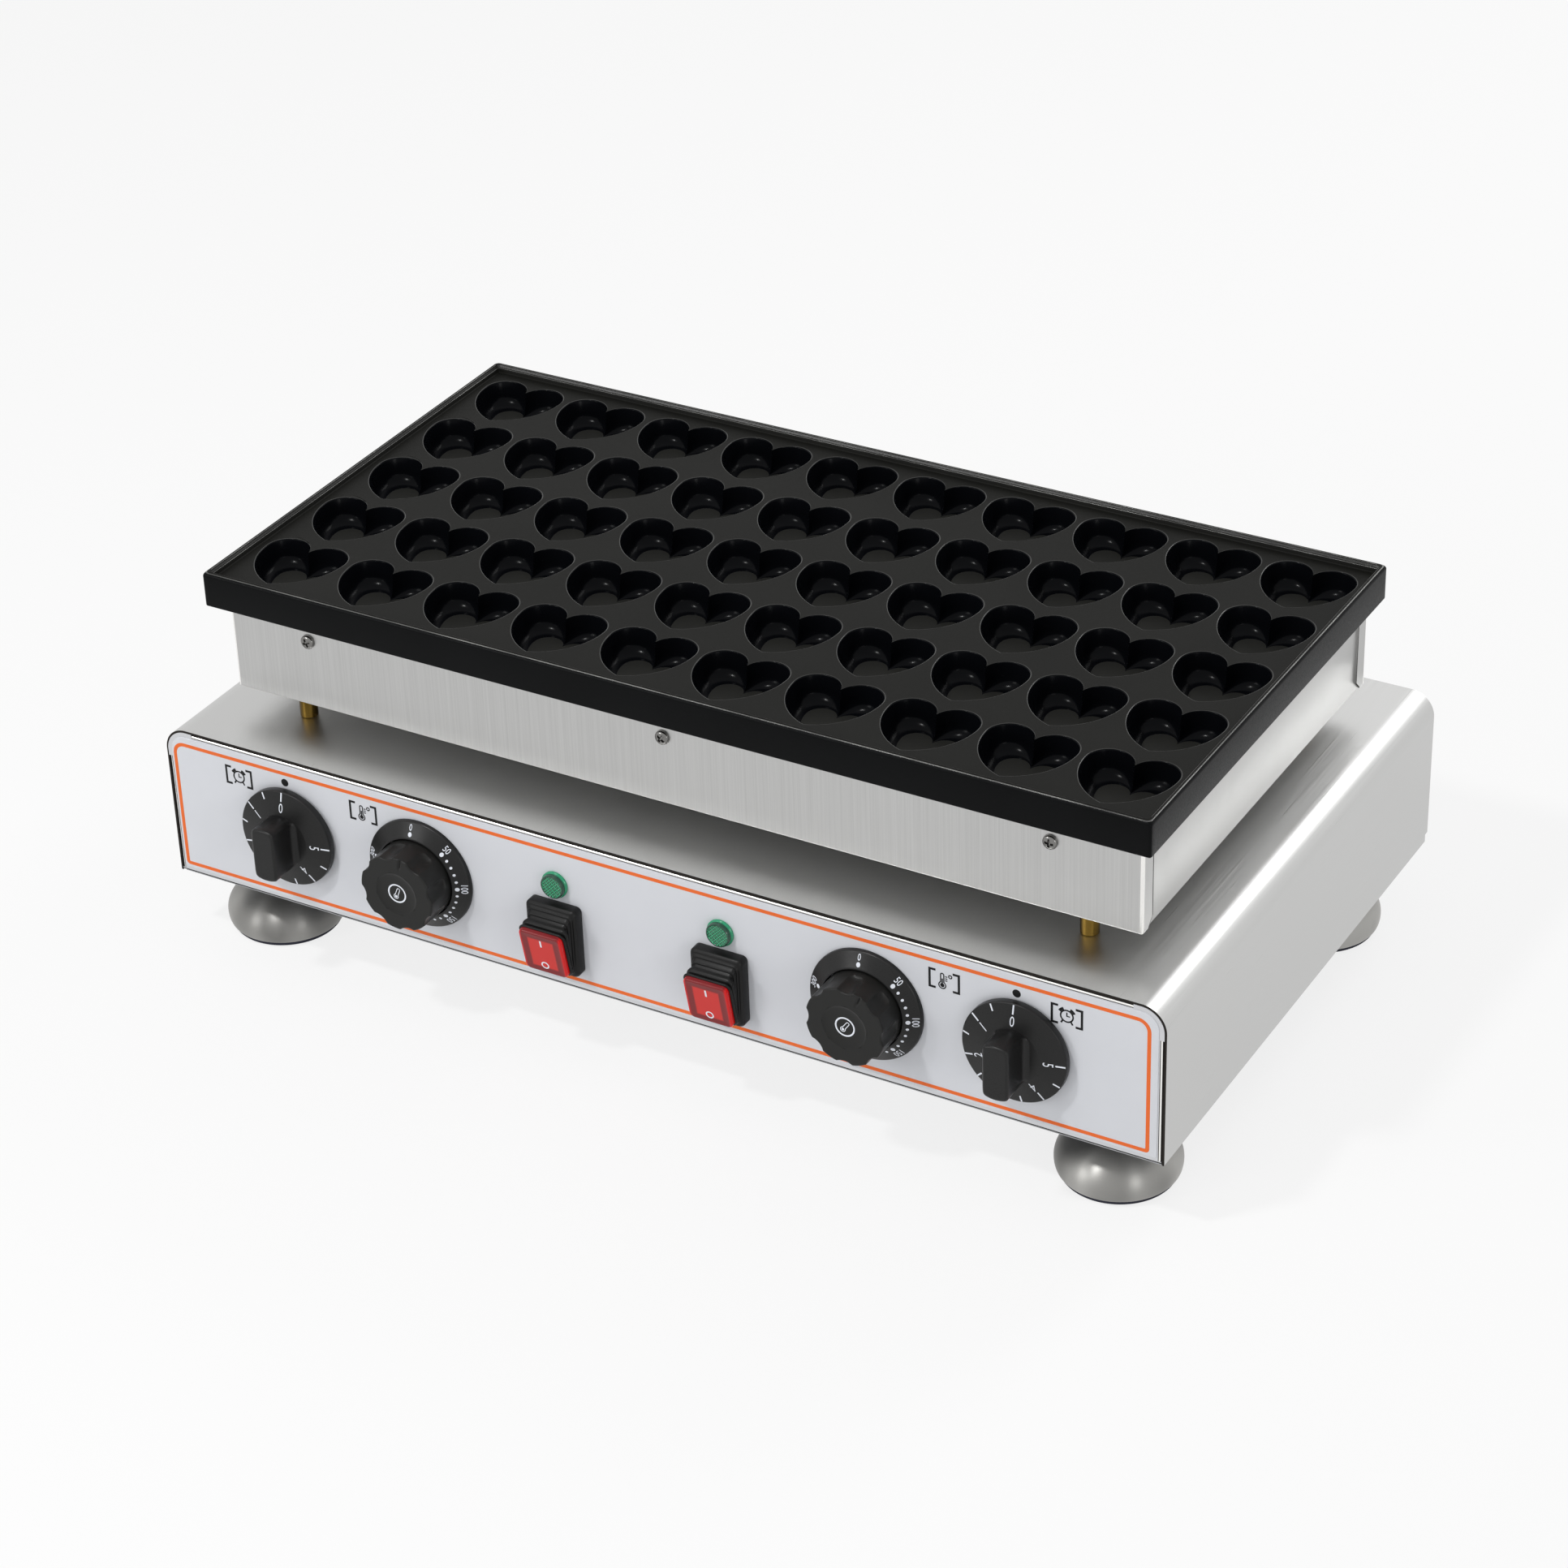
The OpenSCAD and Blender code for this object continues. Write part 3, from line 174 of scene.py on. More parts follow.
def turnedFlat(flat, turn):
    # the first two coordinates, turned clockwise in degrees about the origin
    t = math.radians(turn)
    return np.stack([flat[..., 0] * math.cos(t) + flat[..., 1] * math.sin(t),
                     flat[..., 1] * math.cos(t) - flat[..., 0] * math.sin(t)], -1)


def onPanel(local, x, z, turn=0):
    # local points are right, up and out of the panel face; turn is clockwise in degrees about the axis at x, z
    right, up = np.moveaxis(turnedFlat(local, turn), -1, 0)
    return np.stack([x + right, front - local[..., 2], z + up], -1)


def placedOnPanel(shape, x, z, turn=0):
    # a surface made round its own axis, put on the panel with its faces outward
    return outward(onPanel(shape[0], x, z, turn), shape[1])


def raised(flat, out):
    # flat points at one height, or at a height each
    return np.column_stack([flat, np.full(len(flat), out)])


def turned(profile, steps, wave=None):
    # a profile of radius and height carried round an axis; wave(angle, radius, height) gives the radius again
    profile = np.asarray(profile, float)
    a, r, h = np.broadcast_arrays(np.linspace(0, 2 * math.pi, steps, endpoint=False)[None],
                                  profile[:, :1], profile[:, 1:])
    if wave is not None:
        r = wave(a, r, h)
    return np.stack([r * np.cos(a), r * np.sin(a), h], -1)


def makePiece(name, shape, finish, stands=(), body="root", sharp=35, which=None, uv=None, uvName="grain"):
    # writes a surface into a mesh in metres, with smooth faces, sharp edges past an angle, and its own UV map
    points, faces = shape
    corners = np.concatenate([group.ravel() for group in faces])
    used, loops = np.unique(corners, return_inverse=True)
    counts = np.concatenate([np.full(len(group), group.shape[1]) for group in faces])
    mesh = bpy.data.meshes.new(name)
    mesh.vertices.add(len(used))
    mesh.vertices.foreach_set("co", (points[used] * mm).astype(np.float32).ravel())
    mesh.loops.add(len(loops))
    mesh.loops.foreach_set("vertex_index", loops.astype(np.int32))
    mesh.polygons.add(len(counts))
    mesh.polygons.foreach_set("loop_start", (np.cumsum(counts) - counts).astype(np.int32))
    mesh.polygons.foreach_set("use_smooth", np.ones(len(counts), bool))
    for one in finish if isinstance(finish, list) else [finish]:
        mesh.materials.append(one)
    if which is not None:
        mesh.polygons.foreach_set("material_index", np.asarray(which, np.int32))
    if uv is not None:
        mesh.uv_layers.new(name=uvName).data.foreach_set("uv", uv[corners].astype(np.float32).ravel())
    mesh.update(calc_edges=True)
    mesh.validate()
    mesh.set_sharp_from_angle(angle=math.radians(sharp))
    piece = bpy.data.objects.new(name, mesh)
    bpy.context.scene.collection.objects.link(piece)
    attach(piece, body)
    if stands:
        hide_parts(*stands)
    return piece


# finishes: first what they are made with, then one line for each
def tone(colour, factor=1.0):
    # a colour as it is seen, 0 to 255, in the linear value that a shader takes, times a factor and at most 1
    seen = np.array(colour) / 255
    linear = np.where(seen <= 0.04045, seen / 12.92, ((seen + 0.055) / 1.055) ** 2.4)
    return (*np.minimum(1.0, linear * factor).tolist(), 1.0)


def setInputs(node, values):
    # each value is a number or colour, or the output of another node, which gets linked
    for key, value in values.items():
        if isinstance(value, bpy.types.NodeSocket):
            node.id_data.links.new(value, node.inputs[key])
        else:
            node.inputs[key].default_value = value


def addNode(tree, kind, values=(), **settings):
    # a node with its settings, and the values of its inputs
    node = tree.nodes.new(kind)
    for key, value in settings.items():
        setattr(node, key, value)
    setInputs(node, dict(values))
    return node


def reckon(tree, operation, *values):
    # a sum, a product or the like of numbers and outputs
    return addNode(tree, "ShaderNodeMath", dict(enumerate(values)), operation=operation).outputs[0]


def newFinish(name, colour, metallic, roughness):
    # a material with one shader, and its node tree and shader for the patterns that a finish adds
    material = bpy.data.materials.new(name)
    material.use_nodes = True
    material.diffuse_color = tone(colour)
    shader = material.node_tree.nodes["Principled BSDF"]
    setInputs(shader, {"Base Color": tone(colour), "Metallic": metallic, "Roughness": roughness})
    return material, material.node_tree, shader


def noiseOn(tree, scale, detail=3.0, rough=0.55):
    # noise on object coordinates, with its own scale along each axis, in waves per metre
    place = addNode(tree, "ShaderNodeTexCoord").outputs["Object"]
    mapping = addNode(tree, "ShaderNodeMapping", {"Scale": scale, "Vector": place})
    return addNode(tree, "ShaderNodeTexNoise", {"Scale": 1.0, "Detail": detail, "Roughness": rough,
                                                "Vector": mapping.outputs["Vector"]}).outputs["Fac"]


def colourRamp(tree, source, stops):
    # colours at given levels of a pattern
    node = addNode(tree, "ShaderNodeValToRGB", {"Fac": source})
    elements = node.color_ramp.elements
    for index, (position, colour) in enumerate(stops):
        stop = elements[index] if index < 2 else elements.new(position)
        stop.position = position
        stop.color = colour
    return node.outputs["Color"]


def clouded(tree, source, colour, dark, light, start=0.3, end=0.7):
    # a colour that a pattern takes from darker to lighter by two factors
    return colourRamp(tree, source, ((start, tone(colour, dark)), (end, tone(colour, light))))


def spread(tree, source, least, most):
    # a number that a pattern takes from least to most
    values = {"Value": source, "From Min": 0.3, "From Max": 0.7, "To Min": least, "To Max": most}
    return addNode(tree, "ShaderNodeMapRange", values).outputs["Result"]


def relief(tree, source, height, strength=1.0):
    # turns a pattern into relief of the given height in micrometres
    values = {"Strength": strength, "Distance": height * 1e-6, "Height": source}
    return addNode(tree, "ShaderNodeBump", values).outputs["Normal"]


def grainWay(tree):
    # the direction of the first coordinate of the piece's own UV map
    return addNode(tree, "ShaderNodeTangent", direction_type="UV_MAP", uv_map="grain").outputs["Tangent"]


def brushedSteel(name, colour, grain, roughness, contrast, height):
    # sheet with fine streaks drawn out along the grain axis: many waves across it, few along it
    material, tree, shader = newFinish(name, colour, 1, roughness)
    scale = [1150.0] * 3
    scale["xyz".index(grain)] = 7.0
    streaks = noiseOn(tree, scale, 4.0, 0.7)
    setInputs(shader, {"Base Color": clouded(tree, streaks, colour, 1 - contrast, 1 + contrast),
                       "Roughness": spread(tree, streaks, roughness - 0.05, roughness + 0.07),
                       "Normal": relief(tree, streaks, height, 0.6), "Anisotropic": 0.55, "Tangent": grainWay(tree)})
    return material


def spunSteel(name, colour, roughness):
    # steel brushed round an axis: highlights drawn out along the grain, and broad upright clouds of darker and lighter
    # colour as painted reflections
    material, tree, shader = newFinish(name, colour, 1, roughness)
    cloud = noiseOn(tree, [30.0, 30.0, 12.0], 1.0)
    setInputs(shader, {"Base Color": clouded(tree, cloud, colour, 0.62, 1.2, 0.36, 0.64),
                       "Anisotropic": 0.85, "Tangent": grainWay(tree)})
    return material


def grainy(name, colour, metallic, roughness, size, height, contrast=0.12, specular=0.5, coat=0.0):
    # moulded, cast or rolled surface: broad clouds in colour, and a fine grain in gloss and relief; the grain's size
    # is in millimetres and its height in micrometres
    material, tree, shader = newFinish(name, colour, metallic, roughness)
    grain, cloud = noiseOn(tree, [1000.0 / size] * 3), noiseOn(tree, [22.0] * 3, 2.0)
    setInputs(shader, {"Base Color": clouded(tree, cloud, colour, 1 - contrast, 1 + contrast),
                       "Roughness": spread(tree, grain, max(0.03, roughness - 0.06), roughness + 0.06),
                       "Normal": relief(tree, grain, height), "Coat Weight": coat, "Specular IOR Level": specular})
    return material


shellSteel = brushedSteel("shell steel", (196, 196, 195), "y", 0.32, 0.025, 4)
panSteel = brushedSteel("casing steel", (192, 192, 191), "z", 0.36, 0.085, 10)
# painted shade: a darker copy of the casing steel for its sideways faces, the side sheets and the pan's flanges
shadedSideSteel = brushedSteel("casing steel painted shaded on its sides", (186, 186, 185), "z", 0.36, 0.06, 10)
panelSteel = brushedSteel("panel steel", (206, 207, 210), "x", 0.36, 0.03, 5)
footSteel = spunSteel("spun foot steel with painted reflections", (156, 155, 152), 0.42)
screwSteel = grainy("screw steel", (122, 121, 119), 1, 0.2, 0.6, 10)
boltSteel = grainy("bolt steel", (176, 176, 174), 1, 0.3, 0.8, 20)
# painted highlight: near-white steel on the panels' folds and on the casing's bends and lower edge
foldHighlight = grainy("painted fold highlights", (242, 241, 238), 1, 0.22, 0.8, 6, 0.03)
coverSheet = grainy("galvanised cover", (178, 180, 183), 0.35, 0.6, 9.0, 10, 0.15)
# painted light: the casing's base, which lies in shade, painted near white so that the deck reflects it lighter
litBaseSheet = grainy("base sheet painted light", (236, 236, 235), 0, 0.8, 9.0, 10, 0.03)
# painted shade: dark strips on the folds, the shell's sheet ends and the casing's flange ends, where the gaps lie in
# shade
gapShade = grainy("painted gap shade", (40, 37, 34), 0, 0.6, 0.8, 10, 0.1, 0.1)
castTop = grainy("coated plate", (22, 22, 20), 0, 0.45, 0.55, 30, 0.1, 0.06)
# painted shade: the cups' walls and fillets darker than the plate's top, with the same coating
shadedCup = grainy("cup coating painted shaded", (8, 9, 12), 0, 0.2, 0.7, 6, 0.1, 0.05)
# painted light: the cups' bottoms lighter than the plate's top, with the same coating, against the walls' shade
litCupBottom = grainy("cup bottoms painted light", (40, 40, 38), 0, 0.5, 0.55, 30, 0.1, 0.06)
# painted shade: the plate's outer edge, skirt and underside nearly black, with the same coating as the top
shadedSkirt = grainy("plate skirt painted shaded", (9, 10, 11), 0, 0.35, 0.7, 60, 0.15, 0.06)
# painted highlights: light lines on the lip's edges and on the plate's top edge
edgeHighlight = grainy("painted highlights on plate edges", (100, 100, 98), 0.3, 0.3, 0.5, 100, 0.7, 0.3)
# painted sheen: lighter strips at the cups' rims and on the lip's upper slope
edgeSheen = grainy("painted sheen on plate edges", (40, 40, 38), 0, 0.2, 0.5, 80, 0.3, 0.35)
# yellow plating, darkened as painted shade for the dark space under the casing that the posts reflect
brass = grainy("yellow plated posts painted shaded", (118, 94, 42), 1, 0.2, 0.5, 10, 0.45)
copper = grainy("copper", (190, 120, 84), 1, 0.3, 0.7, 10, 0.1)
sheath = grainy("element sheath", (96, 92, 86), 1, 0.5, 1.2, 20, 0.2)
board = grainy("fibre board", (214, 206, 186), 0, 0.95, 1.4, 200, 0.08)
overlayFilm = grainy("overlay film", (212, 214, 219), 0, 0.42, 0.5, 6, 0.012, 0.3)
lineInk = grainy("orange ink", (232, 108, 44), 0, 0.45, 0.5, 5, 0.03, 0.25)
darkInk = grainy("dark ink", (20, 20, 22), 0, 0.5, 0.5, 5, 0.05, 0.2)
paleInk = grainy("pale ink", (228, 232, 240), 0, 0.5, 0.5, 5, 0.03)
knobBlack = grainy("knob moulding", (28, 28, 27), 0, 0.34, 0.45, 30, 0.06, 0.22)
dialBlack = grainy("dial moulding", (26, 26, 26), 0, 0.32, 0.4, 30, 0.06, 0.25)
bootRubber = grainy("boot rubber", (18, 18, 18), 0, 0.38, 0.6, 30, 0.08, 0.2)
padRubber = grainy("pad rubber", (26, 28, 44), 0, 0.6, 0.8, 30, 0.08, 0.3)
paleMoulding = grainy("pale moulding", (222, 216, 200), 0, 0.45, 0.7, 20, 0.03)
darkMoulding = grainy("dark moulding", (40, 41, 42), 0, 0.5, 0.6, 30, 0.05)
ceramic = grainy("white ceramic", (236, 234, 228), 0, 0.3, 1.0, 10, 0.02, coat=0.3)
lensRim = grainy("lens flange", (34, 150, 106), 0, 0.2, 0.8, 5, 0.03, 0.4, 0.2)
lensRing = grainy("lens ring", (6, 66, 46), 0, 0.15, 0.8, 5, 0.03, 0.4, 0.4)


def lensFinish(period=1.3):
    # green plastic with a lattice of light lines: two sets of bands at 45 degrees across the face, the larger shown
    material, tree, shader = newFinish("green lens", (8, 100, 68), 0, 0.14)
    place = addNode(tree, "ShaderNodeTexCoord").outputs["Object"]
    bands = []
    for turn in (45, -45):
        mapping = addNode(tree, "ShaderNodeMapping", {"Rotation": (0, math.radians(turn), 0), "Vector": place})
        values = {"Scale": 1000 / period / 10 * math.pi, "Vector": mapping.outputs["Vector"]}
        bands.append(addNode(tree, "ShaderNodeTexWave", values, bands_direction="X").outputs["Fac"])
    stops = ((0.6, tone((3, 50, 34))), (1.0, tone((52, 160, 116))))
    setInputs(shader, {"Base Color": colourRamp(tree, reckon(tree, "MAXIMUM", *bands), stops), "Coat Weight": 0.4,
                       "Emission Color": tone((10, 150, 96)), "Emission Strength": 0.08})
    return material


def rockerFinish():
    # red plastic with a bright middle, a frame painted dark as shade and a rim painted bright as a highlight, by the
    # larger share of the way from the middle to the frame's sides, on the piece's own UV map
    material, tree, shader = newFinish("red rocker painted lit and shaded", (214, 30, 26), 0, 0.2)
    place = addNode(tree, "ShaderNodeUVMap", uv_map="face").outputs["UV"]
    parts = addNode(tree, "ShaderNodeSeparateXYZ", {"Vector": place}).outputs
    shares = [reckon(tree, "DIVIDE", reckon(tree, "ABSOLUTE", parts[axis]), reach)
              for axis, reach in (("X", 0.56), ("Y", 0.66))]
    half = reckon(tree, "DIVIDE", reckon(tree, "MAXIMUM", *shares), 2.0)
    stops = ((0.5, tone((204, 40, 34))), (0.56, tone((120, 26, 28))),
             (0.76, tone((128, 26, 30))), (0.84, tone((218, 14, 16))))
    setInputs(shader, {"Base Color": colourRamp(tree, half, stops), "Specular IOR Level": 0.25, "Coat Weight": 0.05,
                       "Coat Roughness": 0.05})
    return material


greenLens, redRocker = lensFinish(), rockerFinish()
print("finishes made")

# the baking plate; draft and flat are the cups' width at the fillet's two ends, as shares of the heart at the top, and
# the lip's profile is in shares of its slope and of the floor's depth
plate = Settings(cols=10, rows=5, pitchX=54.75, pitchY=54.258, cupsBack=0.95, lobeR=12.6, lobeX=12.3, depth=14.3,
                 perSide=20, floorDrop=4.6, lipFlat=2.5, lipSlope=2.0, lipRound=1.6, cornerR=1.5, topCornerR=4.0,
                 edgeR=2.3, rimR=0.7, rimReach=22, rimLine=0.014, draft=0.945, wallDeep=4.2, flat=0.655, filletR=6.6,
                 block=3.2, borderLine=0.4,
                 lipProfile=((0.0, 0.0), (0.13, 0.04), (0.22, 0.17), (0.4, 0.52), (0.47, 0.56), (0.62, 0.57),
                             (0.7, 0.61), (0.86, 0.9), (0.93, 0.97), (1.05, 1.0)))


def heartOutline():
    # from the tip round the right lobe to the cleft and back down the left side, equal steps of arc on each half
    lobeX, lobeR = plate.lobeX, plate.lobeR
    sideR = 2 * lobeX + lobeR
    tip = -math.acos(lobeX / sideR)
    sideRun, lobeRun = -tip * sideR, (math.pi - math.acos(lobeX / lobeR)) * lobeR
    s = np.linspace(0, sideRun + lobeRun, 2 * plate.perSide + 1)
    onSide = s <= sideRun
    a = np.where(onSide, tip + s / sideR, (s - sideRun) / lobeR)
    x = np.where(onSide, -lobeX + sideR * np.cos(a), lobeX + lobeR * np.cos(a))
    y = np.where(onSide, sideR * np.sin(a), lobeR * np.sin(a))
    x[0] = x[-1] = 0
    half = np.stack([x, y], -1)
    return np.concatenate([half, half[-2:0:-1] * [-1, 1]]) - [0, (lobeR + y[0]) / 2]


def cellBorder(x0, x1, y0, y1):
    # the same number of points on each side of a rectangle, from the middle of its front edge round by the right
    corners = np.array([[x0, y0], [x1, y0], [x1, y1], [x0, y1]])
    part = np.linspace(0, 1, plate.perSide, endpoint=False)[:, None]
    sides = corners[:, None] + (np.roll(corners, -1, 0) - corners)[:, None] * part
    return np.roll(sides.reshape(-1, 2), -(plate.perSide // 2), axis=0)


def bakingPlate():
    # each cell's rings shrink from its rectangle to the heart, round the rim and down the wall, fillet and bottom
    p = plate
    heart = heartOutline()
    size = len(heart)
    floor = top - p.floorDrop
    rimShare = p.rimR / p.rimReach
    edge = roundOver(1, 4) * [rimShare, p.rimR] + [1, 0]
    f = np.radians(np.linspace(0, 90, 8))
    fillet = np.stack([p.flat + (p.draft - p.flat) * np.cos(f), p.depth - p.filletR * (1 - np.sin(f))], -1)
    wall = np.array([[1 + rimShare + p.rimLine, 0], *edge, [(1 + p.draft) / 2, p.wallDeep], *fillet,
                     [p.flat - 0.02, p.depth], [0.3, p.depth]])
    heights = floor - np.concatenate([[0, 0], wall[:, 1]])
    halfX, halfY = (plateHigh - plateLow)[:2] / 2 - p.lipFlat - p.lipSlope
    xs = (np.arange(p.cols + 1) - p.cols / 2) * p.pitchX
    ys = (np.arange(p.rows + 1) - p.rows / 2) * p.pitchY + p.cupsBack
    xs[[0, -1]] = [-halfX, halfX]
    ys[[0, -1]] = [-halfY, halfY]
    shapes = []
    for row, col in np.ndindex(p.rows, p.cols):
        cx = (col - (p.cols - 1) / 2) * p.pitchX
        cy = (row - (p.rows - 1) / 2) * p.pitchY + p.cupsBack
        borders = [cellBorder(xs[col] + g, xs[col + 1] - g, ys[row] + g, ys[row + 1] - g) for g in (0, p.borderLine)]
        rings = np.concatenate([borders, heart[None] * wall[:, :1, None] + [cx, cy]])
        z = np.broadcast_to(heights[:, None, None], (*rings.shape[:2], 1))
        points = np.concatenate([rings, z], -1).reshape(-1, 3)
        around = np.arange(size) + len(points) - size
        fan = np.stack([around, np.roll(around, -1), np.full(size, len(points))], -1)
        shapes.append((np.concatenate([points, [[cx, cy, floor - p.depth]]]),
                       [gridQuads(len(rings), size, wrap=True), fan]))
    # cell finishes: the plain top, a painted sheen on the rim's first strip, painted shade on the walls and fillets,
    # and painted light on the bottoms
    strip = np.repeat(np.arange(len(heights)), size)
    marks = np.tile(np.select([strip < 3, strip < 4, strip < 15], [0, 2, 1], 4), p.rows * p.cols)
    # rim: loops of rounded rectangles from the floor's edge over the lip, down the skirt and under to the block
    part = np.linspace(0, 1, p.perSide, endpoint=False)
    alongX, alongY = (np.append((c[:-1, None] + np.diff(c)[:, None] * part).ravel(), c[-1]) / c[-1] for c in (xs, ys))
    sides = [(alongX, -1, 0), (alongY, 1, 1), (alongX[::-1], 1, 0), (alongY[::-1], -1, 1)]
    loops = []

    def loop(grow, r, z, reach=None, offset=0.0):
        # each side keeps the spacing of the cells' border, and a quarter circle of radius r joins it to the next
        half = np.array(reach or (halfX + grow, halfY + grow)) - r
        base = []
        for index, (share, sign, axis) in enumerate(sides):
            run = np.zeros((len(share), 2))
            run[:, axis] = share * half[axis]
            run[:, 1 - axis] = sign * (half[1 - axis] + r)
            corner = arc(0, 0, r, index * 90 - 90, index * 90, 6)
            base += [run, (corner - corner[0] + run[-1])[1:-1]]
        loops.append(raised(np.concatenate(base) + [0, offset], z))

    wide, e, r = p.lipSlope + p.lipFlat, p.edgeR, p.cornerR
    for share, height in p.lipProfile:
        loop(p.lipSlope * share, p.lipRound * share, floor + p.floorDrop * height)
    for drawn, down in roundOver(1, 8):
        loop(wide - e * drawn, r + (p.topCornerR - r) * drawn, top - e * down)
    for drawn, z in ((0, top - e - 0.5), (0, rim + 0.6), (0.1, rim + 0.25), (0.35, rim)):
        loop(wide - drawn, r - drawn, z)
    block = ((panHigh[0] - panLow[0]) / 2 - 3, (panBack - panFront) / 2 - 1)
    middle = (plateLow[1] + plateHigh[1]) / 2
    for z in (rim, rim - p.block):
        loop(0, 0.0, z, block, (panBack + panFront) / 2 - middle)
    rings = np.array(loops)
    count, size = rings.shape[:2]
    under = np.arange(size)[None] + (count - 1) * size
    shapes.append((rings.reshape(-1, 3), [gridQuads(count, size, wrap=True), under]))
    # rim finishes: painted highlight lines on the lip's edges and the top edge, painted sheen on the lip's upper
    # slope, and painted shade from the outer edge down over the skirt and the block
    bands = np.array([0, 0, 0, 5, 0, 0, 2, 0, 5, 0, 0, 0, 5] + [3] * (count - 14))
    points, faces = joined(shapes)
    return (points + [0, middle, 0], faces), np.concatenate([marks, np.repeat(bands, size), [3]])


plateShape, plateMarks = bakingPlate()
platePiece = makePiece("waffle_plate", plateShape, [castTop, shadedCup, edgeSheen, shadedSkirt, litCupBottom, edgeHighlight],
                       ["baking_plate"], which=plateMarks)
# join the points that lie on each other, and turn every face outward
work = bmesh.new()
work.from_mesh(platePiece.data)
bmesh.ops.remove_doubles(work, verts=work.verts, dist=0.000002)
bmesh.ops.recalc_face_normals(work, faces=work.faces)
work.to_mesh(platePiece.data)
work.free()
platePiece.data.set_sharp_from_angle(angle=math.radians(50))
print("plate made:", len(platePiece.data.polygons), "faces")

# the control body
body = Settings(sheet=1.2, bendR=14.0, flange=12.0, panelBend=2.2, topGap=4.0, notchH=5.0, notchD=3.0, notchCells=7,
                setBack=0.3, stripGap=2.0, footBend=0.6, cornerGap=0.4)
panelHalf, panelTop = halfWidth - body.sheet, deck - body.sheet
topHalf = halfWidth - body.bendR - body.topGap
sideLow, sideHigh = low + body.panelBend + 0.1, deck - body.bendR - body.topGap


def shellSection(inset):
    # half section from the inner end of the bottom flange, out, up the side, round the bend and to the middle
    w, r, foot = halfWidth - inset, body.bendR - inset, body.footBend - inset * 0.3
    z0, z1 = low + inset, deck - inset
    return np.concatenate([[[halfWidth - body.sheet - body.flange, z0], [w - foot - 0.4, z0]],
                           arc(w - foot, z0 + foot, foot, -90, 0, 4),
                           [[w, low + body.notchH], [w, low + body.notchH + 0.5], [w, z1 - r - 0.5]],
                           arc(w - r, z1 - r, r, 0, 90, 24), [[w - r - 0.5, z1]]])


def bodyShell():
    # the section mirrored and carried along the depth; the cells at the rear lower corners are left out
    y0, y1 = front + body.setBack, back - body.setBack
    ys = np.array([y0, front + body.panelBend, y1 - body.notchD, y1])
    grids = []
    for inset in (0.0, body.sheet):
        whole = mirrored(shellSection(inset))
        grids.append(np.stack(np.broadcast_arrays(whole[:, None, 0], ys[None], whole[:, None, 1]), -1))
    count = len(grids[0])
    keep = np.ones((count - 1, 3), bool)
    keep[:body.notchCells, 2] = keep[-body.notchCells:, 2] = False
    keep[[0, -1], 0] = False
    points, faces = thickSheet(*grids, keep)
    uv = np.stack([np.repeat(walked(grids[0][:, 0, [0, 2]]), 4), np.tile(ys, count)], -1) * mm
    # the sheet's end faces beside the two panels are painted dark, as painted shade of the gap there
    bands = [np.any([np.all(np.abs(points[group][..., 1] - y) < 0.001, 1) for y in (y0, y1)], 0) for group in faces]
    return (points, faces), np.concatenate([uv, uv]), np.concatenate(bands).astype(int)


shape, uv, bands = bodyShell()
makePiece("control_body_shell", shape, [shellSteel, gapShade], ["body_shell"], which=bands, uv=uv)


def panelOutline():
    # half of the flat face, from the bottom fold up the side fold and round the free corner to the top fold, mirrored
    w, bend, r, gap = panelHalf, body.panelBend, body.bendR - body.sheet, body.cornerGap
    return mirrored(np.concatenate([
        [[w - gap, low + bend], [w - gap, sideLow], [w - bend, sideLow], [w - bend, sideHigh], [w, sideHigh]],
        arc(w - r, panelTop - r, r, 0, 90, 20), [[topHalf, panelTop], [topHalf, panelTop - bend]]]))


def foldedEdge(a, b, out, depth):
    # strip bent back from the face by a quarter circle: from a to b on the outline, out points away from the middle
    bend = body.panelBend
    outer, inner = (np.concatenate([arc(0, bend, r, 270, 360, 8), [[r, depth]]]) - [bend, 0]
                    for r in (bend, bend - body.sheet))
    section = np.concatenate([outer, inner[::-1]])
    return lofted([np.stack([end[0] + section[:, 0] * out[0], section[:, 1], end[1] + section[:, 0] * out[1]], -1)
                   for end in (a, b)])


def foldBands(lowest):
    # finish of each face of a fold: a painted highlight on the bend between two lines of painted shade, all painted
    # shade on the lowest one
    return np.array(([0] + [2] * 7 if lowest else [2, 1, 1] + [2] * 5) + [0] * 14)


def closingPanel(rear):
    # flat face, a fold on each side, and short lips that close the bottom corners beside the shell's flanges
    face = panelOutline()
    lowHalf = panelHalf - body.flange - body.stripGap
    shapes = [lofted([np.insert(face, 1, y, axis=1) for y in (0.0, body.sheet)]),
              foldedEdge((-topHalf, panelTop), (topHalf, panelTop), (0, 1), body.flange),
              foldedEdge((-lowHalf, low), (lowHalf, low), (0, -1), body.flange)]
    for s in (-1, 1):
        shapes += [foldedEdge((s * panelHalf, sideLow), (s * panelHalf, sideHigh), (s, 0), body.flange),
                   foldedEdge((s * lowHalf, low), (s * (panelHalf - body.cornerGap), low), (0, -1),
                              body.panelBend + 0.02)]
    way, start = (-1, back) if rear else (1, front)
    placed = [outward(points * [1, way, 1] + [0, start, 0], faces) for points, faces in shapes]
    return joined(placed), np.concatenate([np.zeros(len(face) + 2, int), *map(foldBands, [False, True] * 3)])


for name, rear in (("front", False), ("rear", True)):
    shape, bands = closingPanel(rear)
    makePiece(name + "_closing_panel", shape, [panelSteel, foldHighlight, gapShade], [name + "_panel"],
              which=bands, uv=shape[0][:, [2, 0]] * mm)
print("control body made")

# the casing
sheets = Settings(thickness=1.0, bendR=1.6, flange=11.5, chamfer=5.0, edge=0.3, edgeMid=0.4, line=0.8)


